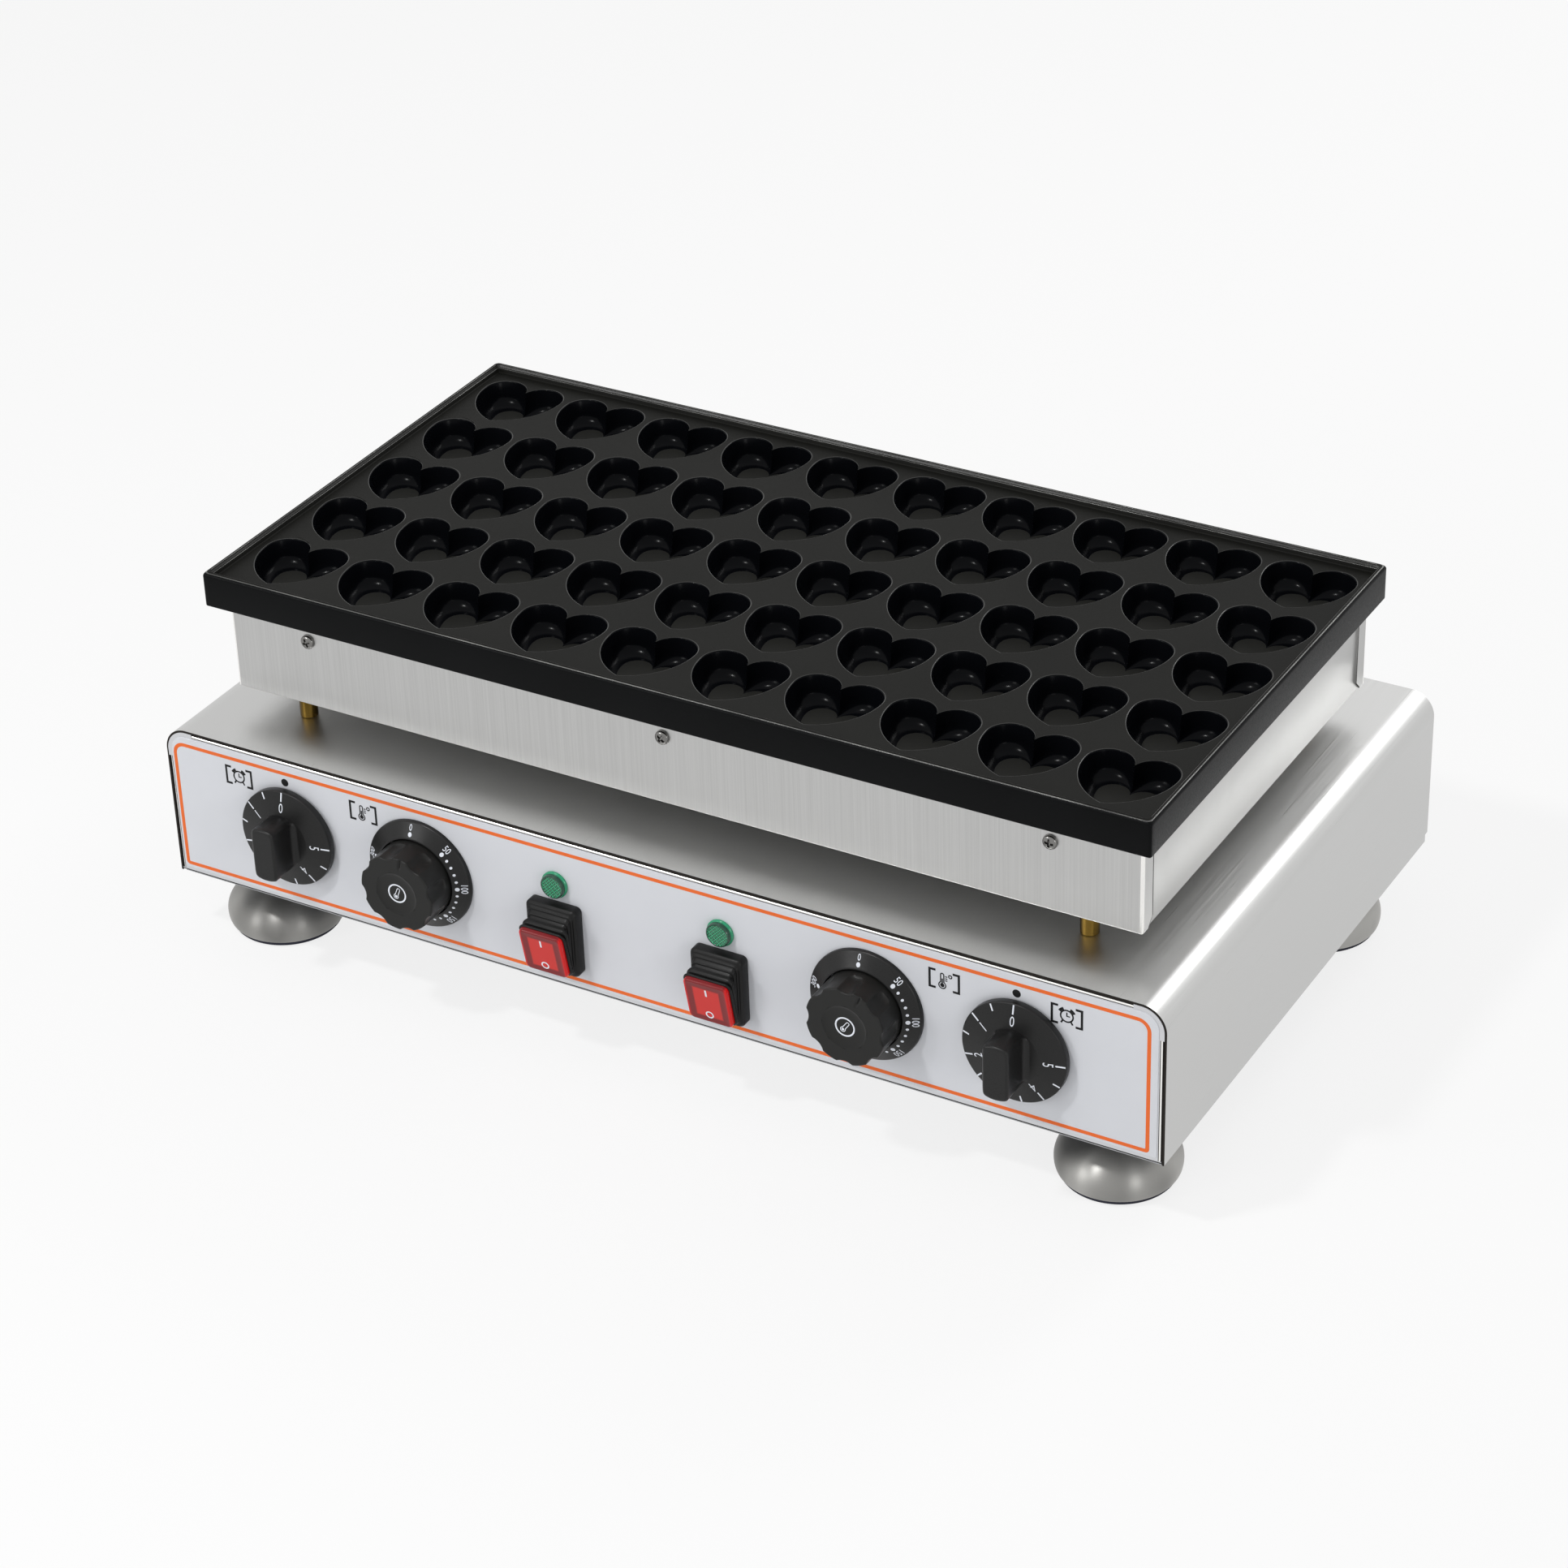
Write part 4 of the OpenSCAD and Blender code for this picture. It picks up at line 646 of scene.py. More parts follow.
def casingPan(rear):
    # the pan in plan, from one flange round both bends to the other, carried up; the flanges end at 45 degrees below
    grids = []
    for inset in (0.0, sheets.thickness):
        x, r = panHigh[0] - inset, sheets.bendR - inset
        path = mirrored(np.concatenate([
            [[x, sheets.flange], [x, sheets.flange - sheets.line], [x, sheets.flange - sheets.chamfer],
             [x, inset + r + 0.4]], arc(x - r, inset + r, r, 0, -90, 10), [[x - r - 0.4, inset]]]))
        cut = np.maximum(0, sheets.chamfer - (sheets.flange - path[:, 1]))
        e = 0.0 if inset else sheets.edge
        columns = []
        for z, pull in ((casing, e), (casing + sheets.edge * sheets.edgeMid, e * sheets.edgeMid),
                        (casing + sheets.edge, 0.0), (casing + sheets.edge + 0.6, 0.0), (rim, 0.0)):
            y = np.maximum(path[:, 1], inset + pull)
            columns.append(np.column_stack([np.clip(path[:, 0], -x + pull, x - pull),
                                            panBack - y if rear else panFront + y, z + cut * (z < rim)]))
        grids.append(np.stack(columns, 1))
    shape = thickSheet(*grids)
    uv = np.stack([np.repeat(walked(grids[0][:, 2, :2]), 5), grids[0][..., 2].ravel()], -1) * mm
    # finishes: painted highlights on the bends and lower edge, the flanges in the side sheets' darker copy of the
    # steel, and a line of painted shade where they end on them
    count, skin = len(grids[0]), (len(grids[0]) - 1) * 4
    column, row = np.divmod(np.arange(skin), 4)
    column = np.minimum(column, count - 2 - column)
    bands = np.zeros(sum(map(len, shape[1])), int)
    bands[:skin] = np.select([column == 0, (column == 1) & (row < 3), row < 2, (column >= 4) & (column <= 13),
                              column < 4], [3, 3, 1, 1, 2], 0)
    return shape, np.concatenate([uv, uv]), bands


for side, rear in (("front", False), ("rear", True)):
    shape, uv, bands = casingPan(rear)
    makePiece("casing_" + side + "_pan", shape, [panSteel, foldHighlight, shadedSideSteel, gapShade],
              ["casing_" + side], which=bands, uv=uv)

for name in ("casing_left", "casing_right"):
    lo, hi = nodeBox(name)
    e = sheets.edge
    ys = np.array([lo[1], lo[1] + e, hi[1] - e, hi[1]])
    zs = np.array([lo[2], lo[2] + e * sheets.edgeMid, lo[2] + e, hi[2]])
    outer, inner = (hi[0], lo[0]) if name == "casing_right" else (lo[0], hi[0])
    pulls = np.array([e, e * sheets.edgeMid, 0.0, 0.0]) * np.sign(inner - outer)
    grids = [np.stack(np.broadcast_arrays(xs[None, :], ys[:, None], zs[None, :]), -1)
             for xs in (outer + pulls, inner + 0 * pulls)]
    makePiece(name + "_sheet", thickSheet(*grids), shadedSideSteel, [name],
              uv=np.concatenate(grids).reshape(-1, 3)[:, 1:] * mm)

screws = Settings(headR=4.0, headH=2.4, edgeH=0.9, shankR=2.0, length=11.0, cross=0.55, reach=2.3, deep=1.2, round=96)


def panScrew():
    # head: radius and height follow a quarter ellipse, less a cross that is shallower towards its ends
    k = screws
    rings = []
    a = np.linspace(0, 2 * math.pi, k.round, endpoint=False)
    for r in np.linspace(0.12, 1, 30):
        x, y = k.headR * r * np.cos(a), k.headR * r * np.sin(a)
        h = k.edgeH + (k.headH - k.edgeH) * np.sqrt(np.maximum(0, 1 - r ** 2.6))
        near, far = np.minimum(np.abs(x), np.abs(y)), np.maximum(np.abs(x), np.abs(y))
        inCross = np.clip((k.cross - near) / 0.16 + 0.5, 0, 1) * np.clip((k.reach - far) / 0.25 + 0.5, 0, 1)
        rings.append(np.stack([x, y, h - inCross * k.deep * (1.15 - 0.25 * far / k.reach)], -1))
    shank = turned([[k.headR, 0.3], [k.headR - 0.2, 0.0], [k.shankR, 0.0], [k.shankR, -k.length]], k.round)
    return fanned(np.concatenate([rings, shank]))


screwPoints, screwFaces = panScrew()
screwLow, screwHigh = nodeBox("casing_screws")
screwX, screwZ = screwHigh[0] - screws.headR, (screwLow[2] + screwHigh[2]) / 2
heads = []
for index, x in enumerate((-screwX, 0.0, screwX)):
    for rear in (False, True):
        u, v = turnedFlat(screwPoints, -(24 + 31 * index + 17 * rear)).T
        y = panBack + screwPoints[:, 2] if rear else panFront - screwPoints[:, 2]
        heads.append(outward(np.column_stack([x + u, y, screwZ + v]), screwFaces))
makePiece("casing_pan_screws", joined(heads), screwSteel, ["casing_screws"], sharp=40)

sleeves = Settings(rodR=5.0, knurlR=7.5, knurlH=4.5, teeth=30, pitch=1.5, depth=0.28, boreR=3.1)


def knurled(a, r, h):
    # two crossing helices of teeth on the widest part
    twist, slope = sleeves.teeth * a, 2 * math.pi * (h - casing) / sleeves.pitch
    tooth = (np.abs(np.sin((twist + slope) / 2)) + np.abs(np.sin((twist - slope) / 2))) / 2
    return np.where(r > sleeves.knurlR - 0.05, r - sleeves.depth + sleeves.depth * tooth, r)


def cornerPlaces(name, r):
    # middles of the four round pieces of radius r at the corners of a node's box
    lo, hi = nodeBox(name)
    return [(x, y) for x in (lo[0] + r, hi[0] - r) for y in (lo[1] + r, hi[1] - r)]


def brassPosts():
    # the profile of a sleeve, from the deck up the rod, out and up the knurled collar and in to the bore
    kr, under, rod, bore = sleeves.knurlR, casing - sleeves.knurlH, sleeves.rodR, sleeves.boreR
    rings = turned([[bore, deck], [rod - 0.4, deck], [rod, deck + 0.4], [rod, under], [kr - 0.5, under],
                    [kr - 0.15, under + 0.3], *([kr, z] for z in np.linspace(under + 0.5, casing - 0.4, 14)),
                    [kr - 0.4, casing], [bore, casing]], 180, knurled)
    return repeated(lofted, rings, cornerPlaces("standoff_sleeves", kr), ring=True)


makePiece("brass_posts", brassPosts(), brass, ["standoff_sleeves"], sharp=30)
print("casing made")

# the feet
feet = Settings(outerR=33.1, baseR=30.4, height=37.0, pad=2.5, ringH=6.8, neckR=14.5, domeH=15.0, topR=12.5, wall=1.5,
                padIn=0.2, padUp=3.0, boltR=5.0, round=128)


def footProfile():
    # base, a quarter ellipse out to the widest ring, one up to the neck, the collar and the stem, then back inside
    k = feet
    z0, w, ringZ, headZ = k.pad, k.wall, k.pad + k.ringH, k.pad + k.height
    a = np.radians(np.linspace(-90, 0, 10))[:, None]
    b = np.radians(np.linspace(0, 90, 28))[1:, None]
    neckZ, bore = ringZ + k.domeH, k.topR - w
    return np.concatenate([
        np.hstack([k.baseR + (k.outerR - k.baseR) * np.cos(a), ringZ + k.ringH * np.sin(a)]),
        np.hstack([k.neckR + (k.outerR - k.neckR) * np.cos(b), ringZ + k.domeH * np.sin(b)]),
        [[k.neckR - 0.8, neckZ + 0.2], [k.topR + 0.6, neckZ + 0.9], [k.topR, neckZ + 1.8], [k.topR, headZ - 0.5],
         [k.topR - 0.4, headZ], [k.boltR, headZ], [k.boltR, headZ - w], [bore, headZ - w], [bore, neckZ - w]],
        np.hstack([bore + (k.outerR - w - bore) * np.cos(b[::-1]), ringZ + (k.domeH - w) * np.sin(b[::-1])])[1:],
        [[k.outerR - w, ringZ], [k.baseR - 0.3, z0 + w], [k.baseR - w - 0.4, z0 + w], [k.baseR - w - 0.4, z0]]])


footPlaces = cornerPlaces("foot_shells", feet.outerR)
footRings = turned(footProfile(), feet.round)
footUv = np.stack(np.broadcast_arrays(np.arange(len(footRings))[:, None] * 0.01, np.arange(feet.round) * 0.002), -1)
makePiece("domed_feet", repeated(lofted, footRings, footPlaces, ring=True), footSteel, ["foot_shells"],
          sharp=40, uv=np.tile(footUv.reshape(-1, 2), (len(footPlaces), 1)))
padR, spigotR = feet.baseR - feet.padIn, feet.baseR - feet.wall - 0.6
padRings = turned([[padR - 1.2, 0.0], [padR - 0.5, 0.2], [padR, 0.8], [padR, feet.pad - 0.3], [padR - 0.3, feet.pad],
                   [spigotR, feet.pad], [spigotR, feet.pad + feet.padUp]], 96)
makePiece("foot_pad_rings", repeated(fanned, padRings, footPlaces), padRubber, ["foot_pads"], sharp=50)
print("feet made")

# the screws of the bottom cover
cover = Settings(headR=3.6, cadHead=1.8, headH=0.45, shankR=1.9, cross=75.0, spread=150.0)


def coverScrews():
    # low flat heads under the cover: three along the front and the rear, two along each side
    lo, hi = nodeBox("bottom_cover_screws")
    r, h, z = cover.headR, cover.headH, lo[2] + cover.cadHead
    rings = turned([[0.4, z - h], [r - 0.4, z - h], [r - 0.1, z - h + 0.15], [r, z], [cover.shankR, z],
                    [cover.shankR, hi[2] - 1.0], [cover.shankR - 0.6, hi[2]]], 48)
    middle = (lo[1] + hi[1]) / 2
    places = [(x, y) for x in (-cover.spread, 0, cover.spread) for y in (lo[1] + r, hi[1] - r)]
    places += [(x, middle + y) for x in (lo[0] + r, hi[0] - r) for y in (-cover.cross, cover.cross)]
    return repeated(fanned, rings, places)


makePiece("cover_screws", coverScrews(), boltSteel, ["bottom_cover_screws"], sharp=40)
print("cover screws made")

# the printed overlay
axisZ = low + 46.3
timerX, statX, switchX = 220.0, 135.0, 50.0
overlay = Settings(thick=0.4, margin=4.0, cornerR=9.0, lowR=1.5, ink=0.06, inkDeep=0.05, lineLeft=-295.0,
                   lineRight=292.0, lineTop=125.3, lineLow=46.2, lineW=2.1, lineR=7.4, lineLowR=2.2, dotR=2.3,
                   dotUp=31.9, dotX=(-timerX - 0.9, timerX - 1.0), signZ=113.8,
                   signs=((-251.7, "clock"), (-170.4, "heat"), (178.8, "heat"), (246.5, "clock")))


def overlayPlate():
    # rings of a rounded rectangle, nearly square below: back edge, front edge, and a drawn-in front
    k = overlay
    w, h = 2 * (halfWidth - k.margin), deck - low - 2 * k.margin
    rings = []
    for inset, out in ((0.0, 0.0), (0.0, k.thick - 0.12), (0.12, k.thick), (0.5, k.thick)):
        radii = [r - inset for r in (k.lowR, k.cornerR, k.cornerR, k.lowR)]
        flat = roundedOutline(w - 2 * inset, h - 2 * inset, radii, 12)
        rings.append(onPanel(raised(flat, out), 0, (deck + low) / 2))
    return lofted(rings)


makePiece("printed_overlay", overlayPlate(), overlayFilm, ["panel_overlay"], sharp=30)


def inkOn(shapes, heightOf, x, z, turn=0):
    # flat ink shapes laid over a surface: heightOf gives its height at each point, and the ink stands a little proud
    plates = []
    for flat, faces in shapes:
        out = heightOf(flat) if callable(heightOf) else heightOf
        outer, inner = (onPanel(raised(flat, out + lift), x, z, turn) for lift in (overlay.ink, -overlay.inkDeep))
        plates.append(thickened(outer, inner, faces))
    return joined(plates)


def strokeShape(points, width, closedLoop=False):
    # a line of even width: each point moves half the width to both sides, along the mean normal of its two edges
    p = np.asarray(points, float)
    step = np.diff(p, axis=0, append=p[:1]) if closedLoop else np.diff(p, axis=0)
    ahead = step if closedLoop else np.concatenate([step, step[-1:]])
    behind = np.roll(step, 1, 0) if closedLoop else np.concatenate([step[:1], step])
    ahead, behind = (v / np.linalg.norm(v, axis=1, keepdims=True) for v in (ahead, behind))
    mean = (ahead + behind) / np.linalg.norm(ahead + behind, axis=1, keepdims=True)
    normal = np.stack([-mean[:, 1], mean[:, 0]], -1)
    reach = width / 2 / np.maximum(0.5, np.sum(mean * ahead, 1))[:, None]
    return np.concatenate([p - normal * reach, p + normal * reach]), gridQuads(2, len(p), wrap=closedLoop)


def ringShape(x, z, r, width, steps):
    # a circle drawn with an even stroke
    return strokeShape(arc(x, z, r, 0, 360, steps)[:-1], width, True)


def discShape(x, z, r, steps=24):
    # a filled circle: quads from its edge to a tiny ring in the middle
    a = np.linspace(0, 2 * math.pi, steps, endpoint=False)
    ring = np.stack([np.cos(a), np.sin(a)], -1)
    return np.concatenate([ring * r + [x, z], ring * 0.001 + [x, z]]), gridQuads(2, steps, wrap=True)


def letterShape(text, height, width=1.0):
    # numerals from the built-in font, as triangles about their middle
    curve = bpy.data.curves.new("numeral", "FONT")
    curve.body = text
    curve.resolution_u = 3
    holder = bpy.data.objects.new("numeral", curve)
    bpy.context.scene.collection.objects.link(holder)
    bpy.context.view_layer.update()
    mesh = bpy.data.meshes.new_from_object(holder.evaluated_get(bpy.context.evaluated_depsgraph_get()))
    mesh.calc_loop_triangles()
    flat = np.zeros(len(mesh.vertices) * 3)
    mesh.vertices.foreach_get("co", flat)
    flat = flat.reshape(-1, 3)[:, :2]
    tris = np.zeros(len(mesh.loop_triangles) * 3, np.int32)
    mesh.loop_triangles.foreach_get("vertices", tris)
    bpy.data.objects.remove(holder)
    bpy.data.curves.remove(curve)
    bpy.data.meshes.remove(mesh)
    lo, hi = flat.min(0), flat.max(0)
    flat = (flat - (lo + hi) / 2) * height / (hi[1] - lo[1]) * [width, 1]
    tris = tris.reshape(-1, 3).astype(np.int64)
    a, b, c = flat[tris[:, 0]], flat[tris[:, 1]], flat[tris[:, 2]]
    area = (b[:, 0] - a[:, 0]) * (c[:, 1] - a[:, 1]) - (b[:, 1] - a[:, 1]) * (c[:, 0] - a[:, 0])
    tris = np.where(area[:, None] < 0, tris[:, ::-1], tris)
    return flat, tris[np.abs(area) > 1e-9]


def dialMark(shape, turn, up=0.0):
    # a flat shape moved up from the axis, then turned about it
    flat, faces = shape
    return turnedFlat(flat + [0, up], turn), faces


def brackets():
    # a square bracket on each side of a sign
    return [strokeShape([[s * 4.8, 5.2], [s * 8.2, 5.2], [s * 8.2, -5.2], [s * 4.8, -5.2]], 1.3) for s in (-1, 1)]


def clockSign():
    # ring, two hands, a bell each side along a wider circle, two feet and the square brackets
    shapes = [ringShape(0, 0, 3.4, 0.85, 32), strokeShape([[0, 2.2], [0, 0], [1.7, 0]], 0.65)]
    for s in (-1, 1):
        shapes.append(strokeShape(arc(0, 0, 4.6, 90 - s * 62, 90 - s * 24, 8), 1.5))
        shapes.append(strokeShape([[s * 2.3, -2.9], [s * 3.2, -4.5]], 0.95))
    return shapes + brackets()


def thermometerSign():
    # bulb, stem with a round top, three ticks, a small ring and the square brackets
    stem = np.concatenate([[[-2.0, -1.3]], arc(-1.1, 3.2, 0.9, 180, 0, 8), [[-0.2, -1.3]]])
    shapes = [strokeShape(stem, 0.65), strokeShape(arc(-1.1, -2.9, 1.95, 62, -242, 24), 0.65),
              discShape(-1.1, -2.9, 1.2), strokeShape([[-1.1, -2.4], [-1.1, 1.0]], 0.75)]
    shapes += [strokeShape([[0.5, z], [1.8, z]], 0.6) for z in (2.6, 1.4, 0.2)]
    return shapes + [ringShape(3.4, 3.2, 0.9, 0.6, 16)] + brackets()


def borderLine():
    # the space between two rounded rectangles, the inner one drawn in by the line's width
    k = overlay
    w, h, t = k.lineRight - k.lineLeft, k.lineTop - k.lineLow, k.lineW
    middle = ((k.lineLeft + k.lineRight) / 2, (k.lineTop + k.lineLow) / 2)
    outer = roundedOutline(w, h, [k.lineLowR, k.lineR, k.lineR, k.lineLowR], 10, middle)
    inner = roundedOutline(w - 2 * t, h - 2 * t, [0.6, k.lineR - t, k.lineR - t, 0.6], 10, middle)
    return inkOn([(np.concatenate([outer, inner]), gridQuads(2, len(outer), wrap=True))], k.thick, 0, 0)


def panelSigns():
    # an index dot over each timer, and the signs beside the controls
    k = overlay
    dots = [discShape(x, axisZ + k.dotUp, k.dotR, 32) for x in k.dotX]
    shapes = {"clock": clockSign(), "heat": thermometerSign()}
    return joined([inkOn(dots, k.thick, 0, 0)] + [inkOn(shapes[sign], k.thick, x, k.signZ) for x, sign in k.signs])


makePiece("border_line", borderLine(), lineInk)
makePiece("panel_signs", panelSigns(), darkInk)
print("overlay made")

# the socket at the back of every knob: a recess round the nut, and the shaft's bore
socket = Settings(back=1.4, recessR=12.0, recessOut=4.5, boreR=3.05, boreOut=19.7)
socketRows = [(socket.recessR, socket.back), (socket.recessR, socket.recessOut), (socket.boreR, socket.recessOut),
              (socket.boreR, socket.boreOut)]

# the timer knobs
timer = Settings(dialR=29.0, edgeOut=5.5, hubOut=8.4, hubR=15.3, barHalf=7.2, barR=16.1, barEdge=1.5, front=26.5,
                 fillet=3.5, tickIn=23.5, halfTickIn=24.7, tickOut=28.5, tickW=0.85, numberR=19.8, numberH=5.4,
                 numberW=0.72, step=54.0)


def barOutline(half, r, steps=144, power=14.0):
    # round bar with flat sides: the direction's share of the half width and of the radius, blended by a high power
    a = np.linspace(0, 2 * math.pi, steps, endpoint=False)
    reach = ((np.abs(np.cos(a)) / half) ** power + (1 / r) ** power) ** (-1 / power)
    return np.stack([reach * np.cos(a), reach * np.sin(a)], -1)


def dialHeight(flat):
    # the cone from the dial's edge up to its hub
    slope = (timer.hubOut - timer.edgeOut) / (timer.dialR - timer.hubR)
    return timer.edgeOut + (timer.dialR - np.clip(np.linalg.norm(flat, axis=1), timer.hubR, timer.dialR)) * slope


def timerKnob():
    # rings from the front of the bar down its sides, out over the fillet, hub and cone, round the edge and in behind
    k = timer
    e, root = k.barEdge, k.hubOut + k.fillet
    rings = [raised(barOutline(k.barHalf - e, k.barR - e) * share, k.front) for share in (0.15, 0.6, 0.93)]
    for inset, down in roundOver(e, 7):
        rings.append(raised(barOutline(k.barHalf - inset, k.barR - inset), k.front - down))
    rings += [raised(barOutline(k.barHalf, k.barR - (25 - out) * 0.02), out) for out in (22.0, 17.0, root)]
    for a in np.radians(np.linspace(10, 86, 9)):
        outline = barOutline(k.barHalf + k.fillet * (1 - math.cos(a)), k.barR - 0.35 - 0.4 * math.sin(a))
        rings.append(raised(outline, root - k.fillet * math.sin(a)))
    circle = barOutline(1000.0, 1.0)
    cone = {r: dialHeight(circle[:1] * r)[0] for r in (20.0, 25.0, k.dialR - 1.0, k.dialR - 0.6)}
    edge = cone[k.dialR - 0.6]
    for r, out in ((k.hubR, k.hubOut + 0.02), (k.hubR + 0.5, k.hubOut - 0.08), *cone.items(),
                   (k.dialR - 0.25, edge - 0.12), (k.dialR - 0.05, edge - 0.42), (k.dialR, edge - 0.8),
                   (k.dialR, socket.back + 0.4), (k.dialR - 0.3, socket.back), (k.dialR - 1.0, socket.back),
                   *socketRows):
        rings.append(raised(circle * r, out))
    return fanned(rings)


def timerMarks():
    # a tick at each number and half way between, numbers with their tops outward, counter-clockwise from the top
    k = timer
    shapes = []
    for index in range(11):
        parts = np.linspace(k.halfTickIn if index % 2 else k.tickIn, k.tickOut, 4)
        shapes.append(dialMark(strokeShape(np.column_stack([np.zeros(4), parts]), k.tickW), -index * k.step / 2))
    return shapes + [dialMark(letterShape(str(number), k.numberH, k.numberW), -number * k.step, k.numberR)
                     for number in range(6)]


knob = timerKnob()
for side, x in (("left", -timerX), ("right", timerX)):
    rider = "timer_" + side
    makePiece("timer_dial_" + side, placedOnPanel(knob, x, axisZ), dialBlack, [rider + "_knob"], rider,
              sharp=40)
    makePiece("timer_dial_marks_" + side, inkOn(timerMarks(), dialHeight, x, axisZ), paleInk, (), rider)
print("timers made")

# the thermostat knobs and their bezels
stat = Settings(bezelIn=23.2, bezelOut=32.2, edge=2.8, innerOut=7.4, knobR=22.5, front=25.0, round=0.9, fluteR=9.0,
                fluteDeep=1.7, fluteStart=10.5, fluteRun=5.0, flutes=8, dishR=12.35, dishDeep=0.9, notchHalf=1.1,
                notchIn=15.5, notchRun=3.0, notchDeep=0.9, dotR=26.0, largeDot=1.15, smallDot=0.75, labelR=29.5,
                labelH=3.4, zeroH=3.2, labelW=0.85, zeroTurn=-4, firstTurn=43, turnStep=9.6,
                rest={"left": 10.0, "right": 24.0})


def bezelHeight(flat):
    # the ring's cone, from its thin outer edge up to its inner edge
    share = (stat.bezelOut - np.linalg.norm(flat, axis=1)) / (stat.bezelOut - stat.bezelIn)
    return stat.edge + (stat.innerOut - stat.edge) * np.clip(share, 0, 1)


def bezelRing():
    # section of the ring: flat back, thin outer edge, the cone with both its edges rounded, and the bore
    k = stat
    slope = (k.innerOut - k.edge) / (k.bezelOut - k.bezelIn)
    outR, inR = k.bezelOut, k.bezelIn
    profile = [[inR, 0.4], [outR - 0.2, 0.4], [outR, 0.6], [outR, k.edge - 0.5], [outR - 0.15, k.edge - 0.1],
               [outR - 0.5, k.edge + 0.5 * slope], [outR - 1.0, k.edge + 1.0 * slope],
               [inR + 1.2, k.innerOut - 1.2 * slope], [inR + 0.6, k.innerOut - 0.45 * slope],
               [inR + 0.15, k.innerOut - 0.25], [inR, k.innerOut - 0.5]]
    return lofted(turned(profile, 144), ring=True)


def bezelMarks():
    # dots clockwise from just before the top, every fifth one larger with its number outside it
    k = stat
    shapes = [dialMark(discShape(0, k.dotR, k.largeDot), k.zeroTurn),
              dialMark(letterShape("0", k.zeroH, k.labelW), k.zeroTurn, k.labelR)]
    for index in range(26):
        turn, large = k.firstTurn + k.turnStep * index, index % 5 == 0
        shapes.append(dialMark(discShape(0, k.dotR, k.largeDot if large else k.smallDot, 16), turn))
        if large:
            shapes.append(dialMark(letterShape(str(50 + 10 * index), k.labelH, k.labelW), turn, k.labelR))
    return shapes


def dished(r):
    # depth of the shallow dish in the knob's front
    return stat.dishDeep * np.sqrt(np.maximum(0, 1 - (np.minimum(r, stat.dishR) / stat.dishR) ** 2.4))


def statKnob():
    # polar grid: the wall's radius dips at each flute, the front has a shallow dish and a pointer notch at the top
    k = stat
    a = np.linspace(0, 2 * math.pi, 384, endpoint=False)
    # flutes lie between the eight ribs, with one rib at the top
    period = 2 * math.pi / k.flutes
    phase = (a - math.pi / 2 + period) % period - period / 2
    rings = []

    def wallRadius(out, inset=0.0):
        # the wall, cut by circles of the flute's radius that sink into it along a quarter ellipse
        run = np.clip((out - k.fluteStart) / k.fluteRun, 0, 1)
        dip = k.fluteDeep * math.sqrt(max(0.0, 1 - (1 - run) ** 2))
        centre = k.knobR + k.fluteR - dip
        inside = np.maximum(0, k.fluteR ** 2 - (centre * np.sin(phase)) ** 2)
        cut = centre * np.cos(phase) - np.sqrt(inside)
        return np.where((inside > 0) & (dip > 0), np.minimum(cut, k.knobR), k.knobR) - inset

    def ring(r, out):
        # one turn of points at a radius and a height, each one number or one for each point
        rings.append(np.stack(np.broadcast_arrays(r * np.cos(a), r * np.sin(a), out), -1))

    def frontHeight(r):
        # the front, less the dish and a V-shaped notch that deepens outward
        ahead = np.clip((r * np.sin(a) - k.notchIn) / k.notchRun, 0, 1)
        notch = np.clip(1 - np.abs(r * np.cos(a)) / k.notchHalf, 0, 1) * ahead * (np.sin(a) > 0)
        return k.front - dished(r) - k.notchDeep * notch

    edge = wallRadius(k.front, k.round)
    for share in np.concatenate([np.linspace(0.05, 0.5, 9), np.linspace(0.53, 0.6, 5), np.linspace(0.64, 1.0, 16)]):
        r = edge * share if share > 0.62 else np.full(len(a), share * (k.knobR - k.round))
        ring(r, frontHeight(r))
    for inset, down in roundOver(k.round, 6, 15):
        r = wallRadius(k.front, inset)
        ring(r, frontHeight(r) - down)
    for out in (23.2, 21.0, 18.0, *np.linspace(k.fluteStart + k.fluteRun, k.fluteStart, 14), 8.0, 2.0):
        ring(wallRadius(out), out)
    for r, out in ((k.knobR - 0.4, socket.back), *socketRows):
        ring(r, out)
    return fanned(rings)


def knobSign():
    # ring with a small tilted thermometer inside
    stem = np.concatenate([[[-0.85, -1.2]], arc(0, 2.6, 0.85, 180, 0, 8), [[0.85, -1.2]]])
    inside = [strokeShape(stem, 0.4), strokeShape(arc(0, -2.1, 1.35, 50, -230, 20), 0.4), discShape(0, -2.1, 0.75)]
    return [ringShape(0, 0, 5.25, 0.85, 48)] + [dialMark(one, 12) for one in inside]


def dishHeight(flat):
    # the front's height in its dish, where the sign is printed
    return stat.front - dished(np.linalg.norm(flat, axis=1))


knob, bezel = statKnob(), bezelRing()
for side, x in (("left", -statX), ("right", statX)):
    rest, rider = stat.rest[side], "thermostat_" + side
    makePiece("thermostat_grip_" + side, placedOnPanel(knob, x, axisZ, rest), knobBlack,
              [rider + "_knob"], rider, sharp=40)
    makePiece("thermostat_grip_sign_" + side, inkOn(knobSign(), dishHeight, x, axisZ, rest), paleInk,
              (), rider)
    makePiece("thermostat_scale_ring_" + side, placedOnPanel(bezel, x, axisZ), dialBlack,
              [rider + "_bezel"], sharp=40)
    makePiece("thermostat_scale_marks_" + side, inkOn(bezelMarks(), bezelHeight, x, axisZ), paleInk)
print("thermostats made")

